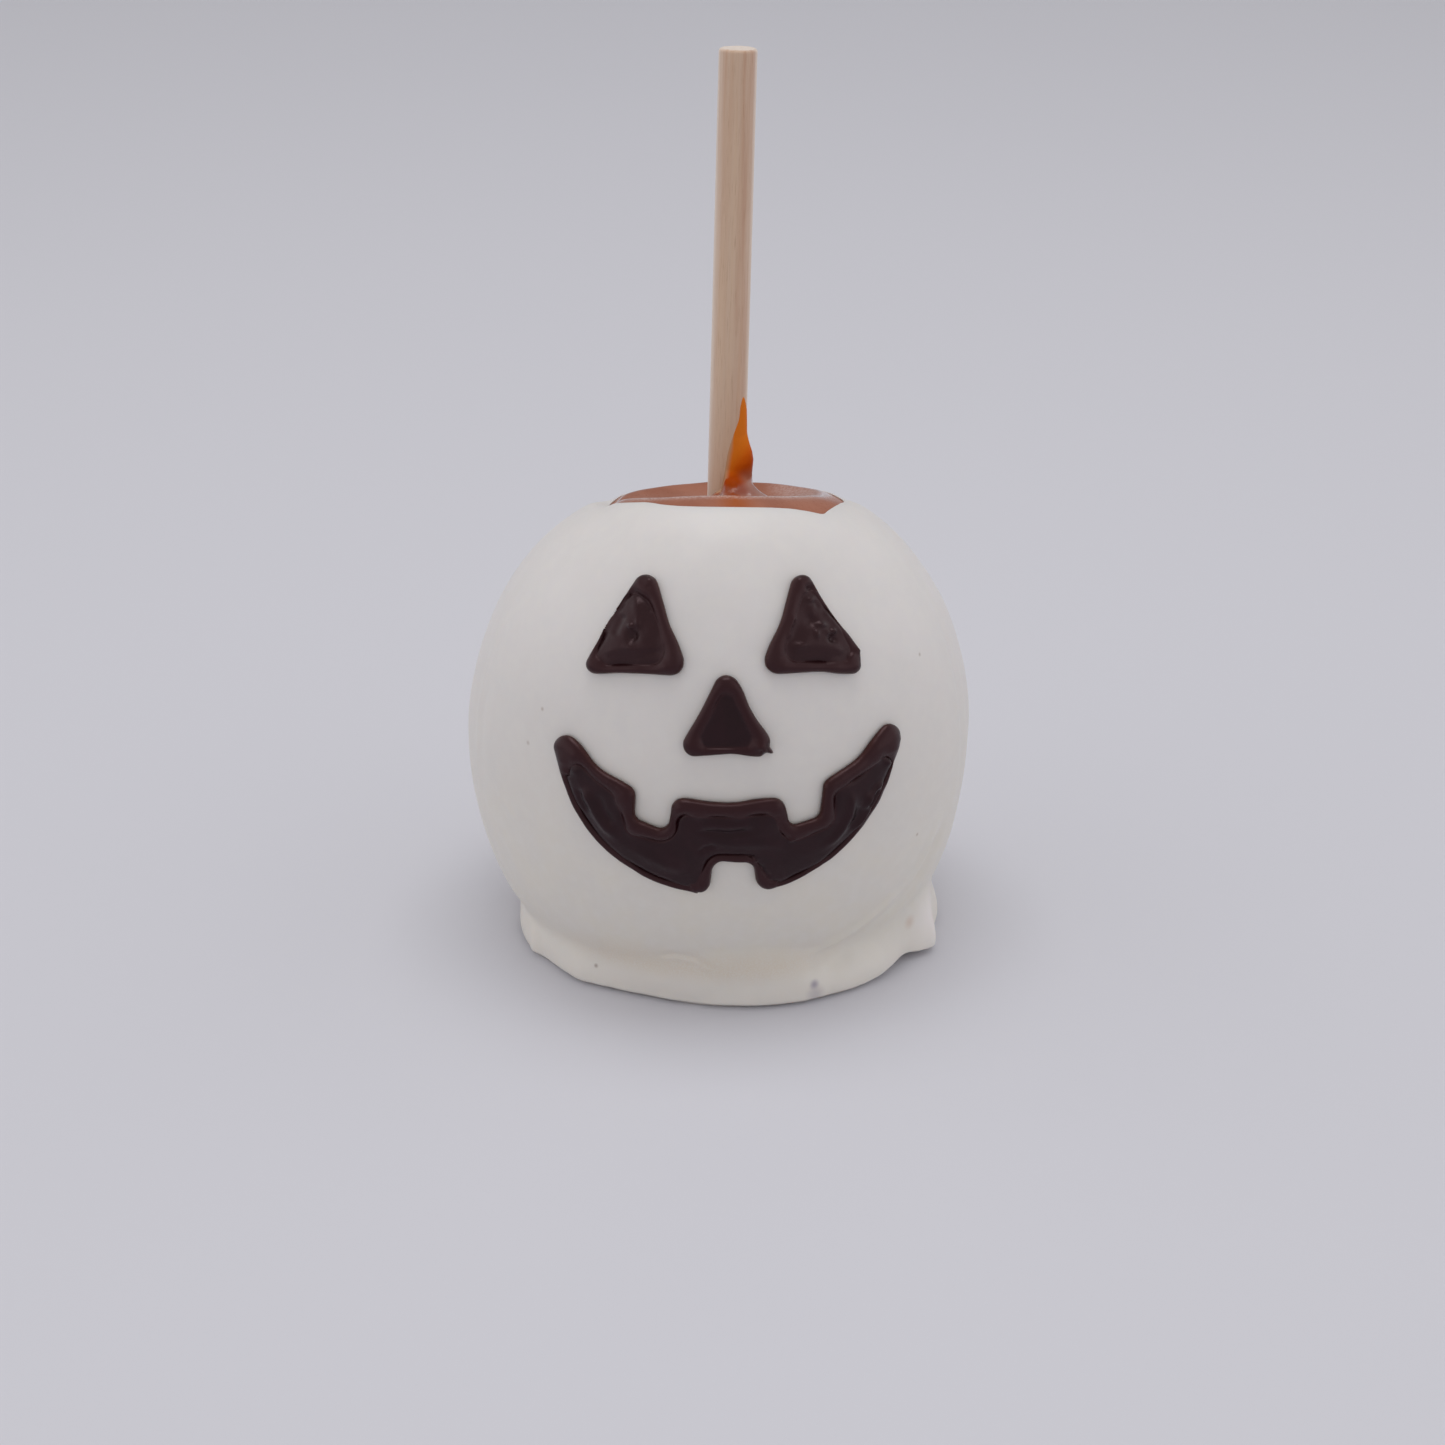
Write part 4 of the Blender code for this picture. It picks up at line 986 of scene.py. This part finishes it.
def piped_mesh(node):
    """A figure on the coat: relief on top, a rounded skirt drawn in under the rope, a sunk underside."""
    outline, fill = belt(ROPES[node]), belt(FILLINGS[node])
    count = len(outline)
    wobble = undulation(np.pad(outline, ((0, 0), (0, 1))), OUTLINE_NOISE, SEED[node]) * MM
    outline = outline + inward(outline) * wobble[:, None]
    top, faces = triangulate(outline, inner_points(outline, fill))
    inside, within = distance_inside(top, outline), distance_inside(top, fill)
    inside[:count] = 0.0
    height, on_rope = piping_height(node, top, inside, within)
    aim = inward(outline)
    rings = [lay_on_coat(outline + aim * step * MM, rise * MM) for step, rise in SKIRT_STEPS]
    drawn_in = outline + aim * SKIRT_STEPS[-1][0] * MM
    grid = lattice_inside(drawn_in, UNDER_LATTICE)
    low, low_faces = triangulate(drawn_in, grid[distance_inside(grid, drawn_in) > UNDER_LATTICE / 2])
    base = len(top)
    index = np.arange(count)
    following = (index + 1) % count
    levels = [index] + [base + i * count + index for i in range(len(rings))]
    for upper, lower in zip(levels, levels[1:]):
        faces += np.stack([upper, lower, lower[following], upper[following]], 1).tolist()
    under = base + (len(rings) - 1) * count
    faces += [[under + i for i in reversed(face)] for face in low_faces]
    middle = lay_on_coat(low[count:], SKIRT_STEPS[-1][1] * MM)
    points = np.concatenate([lay_on_coat(top, height), *rings, middle])
    mesh = bpy.data.meshes.new("piped_" + node)
    mesh.from_pydata(points.tolist(), [], faces)
    for name, on_top in (("rim", bell(inside, RIM_STAIN)), ("rope", on_rope)):
        store(mesh, name, np.append(on_top, np.ones(len(points) - base)))
    return mesh


piped = [finish_piece(piped_mesh(node), "dark_chocolate", node, sharp_angle=PIPED_SHARP_ANGLE)
         for node in ROPES]
print("figures:", [piece.name for piece in piped])

# %% [markdown]
# ## Finishes
#
# A finish is a Principled shader whose colour is laid on in layers, each a
# colour and a share that a noise, a height or a number on the points gives.
# Mottling and specks come up in more than one, so each is a node group.


# %% Node helpers
class Nodes:
    """A node tree that is being built."""

    def __init__(self, tree):
        self.tree = tree

    def put(self, socket, value):
        """Link an output socket to an input socket, or set it to a plain value."""
        if isinstance(value, bpy.types.NodeSocket):
            self.tree.links.new(value, socket)
        else:
            socket.default_value = value

    def add(self, kind, output, *in_order, **by_name):
        """Add a shader node, set its properties and inputs, and return one of its outputs."""
        node = self.tree.nodes.new("ShaderNode" + kind)
        for key, value in by_name.items():
            if hasattr(node, key):
                setattr(node, key, value)
            else:
                self.put(node.inputs[key], value)
        for socket, value in zip(node.inputs, in_order):
            self.put(socket, value)
        return node.outputs[output]

    def compute(self, operation, first, second):
        """A Math node on two sockets or numbers."""
        return self.add("Math", 0, first, second, operation=operation)

    def product(self, first, *others):
        """The product of sockets or numbers, by a Math node for each after the first."""
        for other in others:
            first = self.compute("MULTIPLY", first, other)
        return first

    def span(self, value, low, high, to_low=0.0, to_high=1.0):
        """A Map Range node from one span of numbers to another, eased and clipped."""
        return self.add("MapRange", 0, value, low, high, to_low, to_high, interpolation_type="SMOOTHSTEP")

    def mix(self, share, first, second):
        """A colour Mix node: the share and both colours may be sockets or plain values."""
        node = self.add("Mix", 2, data_type="RGBA").node
        for index, value in ((0, share), (6, first), (7, second)):
            self.put(node.inputs[index], (*value, 1.0) if isinstance(value, tuple) else value)
        return node.outputs[2]


def new_group(name, inputs, outputs):
    """A shader node group with its sockets: inputs are vectors where no value is given, else numbers."""
    nodes = Nodes(bpy.data.node_groups.new(name, "ShaderNodeTree"))
    for label, value in inputs.items():
        kind = "Vector" if value is None else "Float"
        socket = nodes.tree.interface.new_socket(label, in_out="INPUT", socket_type="NodeSocket" + kind)
        if value is not None:
            socket.default_value = value
    for label in outputs:
        nodes.tree.interface.new_socket(label, in_out="OUTPUT", socket_type="NodeSocketFloat")
    given, made = nodes.tree.nodes.new("NodeGroupInput"), nodes.tree.nodes.new("NodeGroupOutput")
    return nodes, given.outputs, made.inputs


# %% Mottling and specks
CLOUD_ROUGHNESS = 0.55
mottling, given, made = new_group("mottling", {"Place": None, "Size": 200.0}, ("Broad", "Close"))
for label, times, detail in (("Broad", 1.0, 3.0), ("Close", 9.0, 2.0)):
    scale = mottling.product(given["Size"], times)
    noise = mottling.add("TexNoise", "Fac", Vector=given["Place"], Scale=scale, Detail=detail,
                         Roughness=CLOUD_ROUGHNESS)
    mottling.put(made[label], noise)

# A soft round mask, used for specks and for patches of painted light.
round_spot, given, made = new_group("round_spot", {"Place": None, "Centre": None, "Reach": 0.0005}, ("Mask",))
gap = round_spot.add("VectorMath", "Value", given["Place"], given["Centre"], operation="DISTANCE")
round_spot.put(made["Mask"], round_spot.span(round_spot.compute("DIVIDE", gap, given["Reach"]), 0.0, 1.0, 1.0, 0.0))


class Finish(Nodes):
    """A material: a Principled shader, its Object coordinates, and a colour laid on in layers."""

    def __init__(self, name, colour, **sockets):
        self.material = bpy.data.materials.new(name)
        self.material.use_nodes = True
        super().__init__(self.material.node_tree)
        self.place = self.add("TexCoord", "Object")
        self.colour = colour
        self.feed(**sockets)

    def feed(self, **sockets):
        """Set or link inputs of the shader by name."""
        for label, value in sockets.items():
            self.put(self.tree.nodes["Principled BSDF"].inputs[label.replace("_", " ")], value)

    def noise(self, part, size):
        """Broad or Close mottling, finer as the size grows."""
        return self.add("Group", part, node_tree=mottling.tree, Place=self.place, Size=size)

    def mark(self, name):
        """A number that the build left on the points."""
        return self.add("Attribute", "Fac", attribute_name=name)

    def axis(self, letter):
        """One coordinate of the place, in metres."""
        return self.add("SeparateXYZ", letter, self.place)

    def layer(self, share, tone):
        """Lay a colour over what is there, by a share."""
        self.colour = self.mix(share, self.colour, tone)

    def bump(self, grain, strength, depth):
        """Raise the surface by a noise, for its light only."""
        self.feed(Normal=self.add("Bump", "Normal", Height=grain, Strength=strength, Distance=depth))

    def dress(self, *pieces):
        """Hand the colour to the shader and the material to pieces."""
        self.feed(Base_Color=self.colour)
        for piece in pieces:
            piece.data.materials.append(self.material)


print("node groups:", [group.name for group in bpy.data.node_groups])

# %% [markdown]
# ### White chocolate
#
# Melted coating sets satin smooth. It is a warm grey-white with cooler and
# creamier clouds, a faint pink where the caramel shows through the thick foot,
# and a few crumbs. The foot is painted paler towards the ground, painted light
# thrown up from below, and a pale patch on the right lobe of the foot is
# painted light too. Light goes a little way in, so it has some subsurface.

# %% White chocolate finish
LOW_TONE, HIGH_TONE = (0.730, 0.688, 0.612), (0.735, 0.698, 0.684)
COOL_TONE, PALE_TONE = (0.70, 0.672, 0.65), (0.76, 0.73, 0.69)
PAINTED_FOOT_LIGHT, BLUSH = (0.79, 0.745, 0.69), (0.71, 0.62, 0.51)
# Specks and spots on the coat: azimuth and height, reach in millimetres, and colour. The last two are pale
# patches on the right lobe of the foot, painted light.
COAT_SPECKS_AND_PAINTED_LIGHT = (
    ((-33.9, 60.7), 0.5, (0.50, 0.43, 0.39)), ((-134.1, 53.8), 0.55, (0.52, 0.46, 0.42)),
    ((-137.9, 47.2), 0.6, (0.56, 0.50, 0.46)), ((-37.6, 28.5), 0.5, (0.50, 0.42, 0.36)),
    ((-63.9, 1.6), 2.4, (0.60, 0.56, 0.56)), ((-63.6, 3.7), 1.3, (0.42, 0.38, 0.43)),
    ((-127.9, 4.3), 0.6, (0.42, 0.35, 0.31)), ((-28.4, 8.0), 1.8, (0.66, 0.56, 0.48)),
    ((-20.0, 6.5), 8.0, (0.84, 0.79, 0.765)), ((-18.0, 6.0), 2.6, (0.82, 0.74, 0.71)),
)


def on_coat(azimuth, height):
    """Point of the coat's outside nearest to an azimuth in degrees and a height in millimetres."""
    outside = coat_rings[:FOOT_ROWS + COAT_ROWS].reshape(-1, 3)
    across = wrapped(np.arctan2(outside[:, 1], outside[:, 0]) - math.radians(azimuth)) * WIDEST_RADIUS
    return tuple(outside[np.argmin(np.hypot(across, outside[:, 2] - height * MM))])


white = Finish("white_chocolate", LOW_TONE, Subsurface_Weight=0.25, Subsurface_Radius=(1.0, 0.8, 0.65),
               Subsurface_Scale=0.002, Specular_IOR_Level=0.42)
height, across, fine = white.axis("Z"), white.axis("X"), white.noise("Close", 420.0)
white.layer(white.span(height, 5 * MM, 70 * MM), HIGH_TONE)
white.layer(white.span(white.noise("Broad", 120.0), 0.35, 0.65, 0.0, 0.4), COOL_TONE)
white.layer(white.span(white.noise("Broad", 420.0), 0.4, 0.7, 0.0, 0.3), PALE_TONE)
# Painted light: the foot is painted paler towards the ground, standing for light thrown up from below.
white.layer(white.span(height, 3 * MM, 11 * MM, 0.85, 0.0), PAINTED_FOOT_LIGHT)
blushing = white.product(
    white.span(height, 4 * MM, 8 * MM), white.span(height, 8 * MM, 14 * MM, 1.0, 0.0),
    white.span(across, -30 * MM, -18 * MM), white.span(across, 9 * MM, 24 * MM, 1.0, 0.0),
    white.span(fine, 0.3, 0.7, 0.25, 0.75))
white.layer(blushing, BLUSH)
# Specks and spots, and painted light on the right lobe of the foot.
for spot, reach, spot_tone in COAT_SPECKS_AND_PAINTED_LIGHT:
    mask = white.add("Group", "Mask", node_tree=round_spot.tree, Place=white.place, Centre=on_coat(*spot),
                     Reach=reach * MM)
    white.layer(mask, spot_tone)
white.feed(Roughness=white.span(fine, 0.3, 0.7, 0.36, 0.48))
white.bump(white.noise("Close", 900.0), 0.25, 0.06 * MM)
white.dress(coat)
print("specks on the coat:", len(COAT_SPECKS_AND_PAINTED_LIGHT))

# %% [markdown]
# ### Caramel
#
# In the bowl the caramel is opaque and milky. The drip is clearer: orange where
# it is drawn out thin over the wood, deep amber where it is thick, and milky
# again low on its right. The near ridge of the bowl glows with light that came
# through the drip. A pale sheen is painted along the crest and on the right
# rim, and pale glints on the folds at the drip's foot: painted highlights. The
# crest and the folds also shine under a thin clear coat where they are wet.

# %% Caramel finish
MILKY = (0.330, 0.130, 0.082)
MILKY_PALE = (0.380, 0.160, 0.105)
AMBER_BY_DEPTH = (
    (0.0, (0.68, 0.180, 0.018)), (0.035, (0.66, 0.165, 0.012)), (0.15, (0.56, 0.100, 0.005)),
    (0.3, (0.42, 0.061, 0.003)), (1.0, (0.27, 0.040, 0.004)))
OVER_WOOD = (0.52, 0.30, 0.17)
# Tone of the painted sheen and painted glints.
PAINTED_SHEEN_TONE = (0.60, 0.42, 0.38)
GLOWING = (0.37, 0.090, 0.020)
GLOW_SHARE = 0.85
sticky = Finish("caramel", MILKY, Specular_IOR_Level=0.01, Coat_IOR=1.8, Coat_Roughness=0.08)
sticky.layer(sticky.span(sticky.noise("Broad", 160.0), 0.35, 0.65), MILKY_PALE)
amber = sticky.add("ValToRGB", "Color", sticky.span(sticky.mark("depth"), 0.0, DEEP))
stops = amber.node.color_ramp.elements
for position, _ in AMBER_BY_DEPTH[1:-1]:
    stops.new(position)
for stop, (_, tone) in zip(stops, AMBER_BY_DEPTH):
    stop.color = (*tone, 1.0)
sticky.layer(sticky.mark("clear"), amber)
sticky.layer(sticky.product(sticky.mark("glow"), GLOW_SHARE), GLOWING)
# Painted sheen and glints, broken into patches by a noise.
patchy = sticky.span(sticky.noise("Close", 260.0), 0.35, 0.65, 0.3, 1.0)
sticky.layer(sticky.product(sticky.mark("painted_sheen"), patchy), PAINTED_SHEEN_TONE)
sticky.layer(sticky.span(sticky.mark("from_edge"), 0.0, 1.0, 1.0, 0.0), OVER_WOOD)
fine = sticky.noise("Close", 160.0)
sticky.feed(Coat_Weight=sticky.mark("wet"), Roughness=sticky.span(fine, 0.3, 0.7, 0.26, 0.38))
sticky.bump(fine, 0.3, 0.06 * MM)
sticky.dress(caramel)
print("stops of the amber:", [round(stop.position, 3) for stop in stops])

# %% [markdown]
# ### Birch
#
# Birch is pale and even, with fine streaks along the stick. The pattern is the
# same mottling, turned to the stick's lean and drawn out along it. Towards its
# edges, where the stick turns away from the view, the wood is painted paler: a
# painted sheen for raised fibres that catch the light.

# %% Birch finish
BIRCH, BAND = (0.63, 0.445, 0.315), (0.50, 0.290, 0.195)
PALE_FIBRE, DARK_FIBRE = (0.63, 0.465, 0.350), (0.33, 0.17, 0.10)
PAINTED_EDGE_SHEEN = (0.75, 0.640, 0.555)
STREAK_STRETCH = (1.0, 1.0, 0.03)
birch = Finish("birch", BIRCH, Specular_IOR_Level=0.4, Sheen_Weight=0.4, Sheen_Roughness=0.35)
turned = birch.add("Mapping", "Vector", vector_type="TEXTURE", Vector=birch.place, Location=stick_end,
                   Rotation=stick_turn.to_euler())
birch.place = birch.add("VectorMath", "Vector", turned, STREAK_STRETCH, operation="MULTIPLY")
fibres = birch.noise("Close", 900.0)
birch.layer(birch.span(birch.noise("Broad", 330.0), 0.35, 0.65), BAND)
birch.layer(birch.span(birch.noise("Broad", 900.0), 0.3, 0.7, 0.0, 0.7), PALE_FIBRE)
birch.layer(birch.span(fibres, 0.55, 0.8, 0.0, 0.5), DARK_FIBRE)
# Painted sheen: paler where the surface turns away from the view.
birch.layer(birch.span(birch.add("LayerWeight", "Facing", Blend=0.35), 0.1, 0.85, 0.0, 0.95), PAINTED_EDGE_SHEEN)
birch.feed(Roughness=birch.span(fibres, 0.3, 0.7, 0.5, 0.7))
birch.bump(fibres, 0.35, 0.1 * MM)
birch.dress(stick)
print("streaks are drawn out", round(1 / STREAK_STRETCH[2]), "fold")

# %% [markdown]
# ### Dark chocolate
#
# The piping is nearly black-brown and satin, a touch redder where it is thin
# at its edge, with a few pale crumbs. The brown turns paler over a few
# millimetres at the height of the eyes.

# %% Dark chocolate finish
BROWN, BLACK, ROPED = (0.0090, 0.0010, 0.0026), (0.0060, 0.0006, 0.0018), (0.0205, 0.0036, 0.0045)
EYE_LEVEL_BROWN, CRUMB, THIN_EDGE = (0.0245, 0.0080, 0.0085), (0.10, 0.04, 0.025), (0.085, 0.025, 0.017)
EYE_LEVEL_FROM, EYE_LEVEL_TO = 62 * MM, 67 * MM
dark = Finish("dark_chocolate", BROWN, Specular_IOR_Level=0.36, Specular_Tint=(1.0, 0.70, 0.74, 1.0))
dark.layer(dark.span(dark.noise("Broad", 300.0), 0.35, 0.65), BLACK)
dark.layer(dark.product(dark.mark("rope"), 0.85), ROPED)
dark.layer(dark.span(dark.noise("Close", 1400.0), 0.70, 0.82, 0.0, 0.4), CRUMB)
dark.layer(dark.span(dark.axis("Z"), EYE_LEVEL_FROM, EYE_LEVEL_TO, 0.0, 0.6), EYE_LEVEL_BROWN)
dark.layer(dark.product(dark.mark("rim"), 0.28), THIN_EDGE)
dark.feed(Roughness=dark.span(dark.noise("Close", 300.0), 0.3, 0.7, 0.28, 0.38))
dark.bump(dark.noise("Broad", 1400.0), 0.5, 0.08 * MM)
dark.dress(*piped)
print("pieces in dark chocolate:", len(piped))

# %% [markdown]
# ## Floor, light and camera
#
# The apple stands on a plain pale floor that fills the view. A broad softbox
# hangs overhead, two pale walls stand at the sides, and a weaker light comes
# from in front, as in a small light tent. All of it is even and soft.

# %% Floor
FLOOR_HALF = 6.0
FLOOR_TONES = (0.678, 0.671, 0.722), (0.688, 0.681, 0.732)
floor_mesh = bpy.data.meshes.new("floor")
corners = [(x * FLOOR_HALF, y * FLOOR_HALF, 0) for x, y in ((-1, -1), (1, -1), (1, 1), (-1, 1))]
floor_mesh.from_pydata(corners, [], [(0, 1, 2, 3)])
floor = bpy.data.objects.new("floor", floor_mesh)
bpy.context.scene.collection.objects.link(floor)
paper = Finish("floor_paper", FLOOR_TONES[0], Roughness=0.45, Specular_IOR_Level=0.3)
paper.layer(paper.noise("Broad", 3.0), FLOOR_TONES[1])
paper.dress(floor)
print("floor, m:", 2 * FLOOR_HALF)

# %% Light
SKY_ALL_ROUND = 0.37
SKY_FRONT = 0.21
SKY_SIDES = 0.66
SKY_COLOUR = (0.985, 0.985, 1.0, 1.0)
SOFTBOX_WATTS = 4.4
SOFTBOX_SIZE = 0.8, 0.65
SOFTBOX_PLACE = (0.0, 0.05, 1.15)
world = bpy.data.worlds.new("light_tent")
bpy.context.scene.world = world
world.use_nodes = True
sky = Nodes(world.node_tree)
across, ahead, _ = sky.add("SeparateXYZ", 0, sky.add("TexCoord", "Generated")).node.outputs
front = sky.span(ahead, -1.0, 0.0, SKY_FRONT, 0.0)
sides = sky.span(sky.compute("ABSOLUTE", across, 0.0), 0.3, 1.0, 0.0, SKY_SIDES)
background = sky.tree.nodes["Background"].inputs
sky.put(background["Strength"], sky.compute("ADD", sky.compute("ADD", front, SKY_ALL_ROUND), sides))
sky.put(background["Color"], SKY_COLOUR)

lamp = bpy.data.lights.new("softbox", "AREA")
lamp.shape = "RECTANGLE"
lamp.size, lamp.size_y = SOFTBOX_SIZE
lamp.energy = SOFTBOX_WATTS
softbox = bpy.data.objects.new("softbox", lamp)
softbox.location = SOFTBOX_PLACE
bpy.context.scene.collection.objects.link(softbox)
print("softbox:", SOFTBOX_WATTS, "W")

# %% Camera
FOCAL_PIXELS, PHOTO_PIXELS, SENSOR = 3000.0, 1445.0, 36.0
camera_data = bpy.data.cameras.new("camera")
camera_data.sensor_width = SENSOR
camera_data.lens = FOCAL_PIXELS / PHOTO_PIXELS * SENSOR
camera_data.clip_start = 0.01
camera = bpy.data.objects.new("camera", camera_data)
camera.location = (0.0005, -0.485, 0.254)
camera.rotation_euler = (math.radians(90 - 24), 0.0, 0.0)
bpy.context.scene.collection.objects.link(camera)
bpy.context.scene.camera = camera
bpy.context.scene.view_settings.view_transform = "Standard"
print("lens", round(camera_data.lens, 2), "mm")
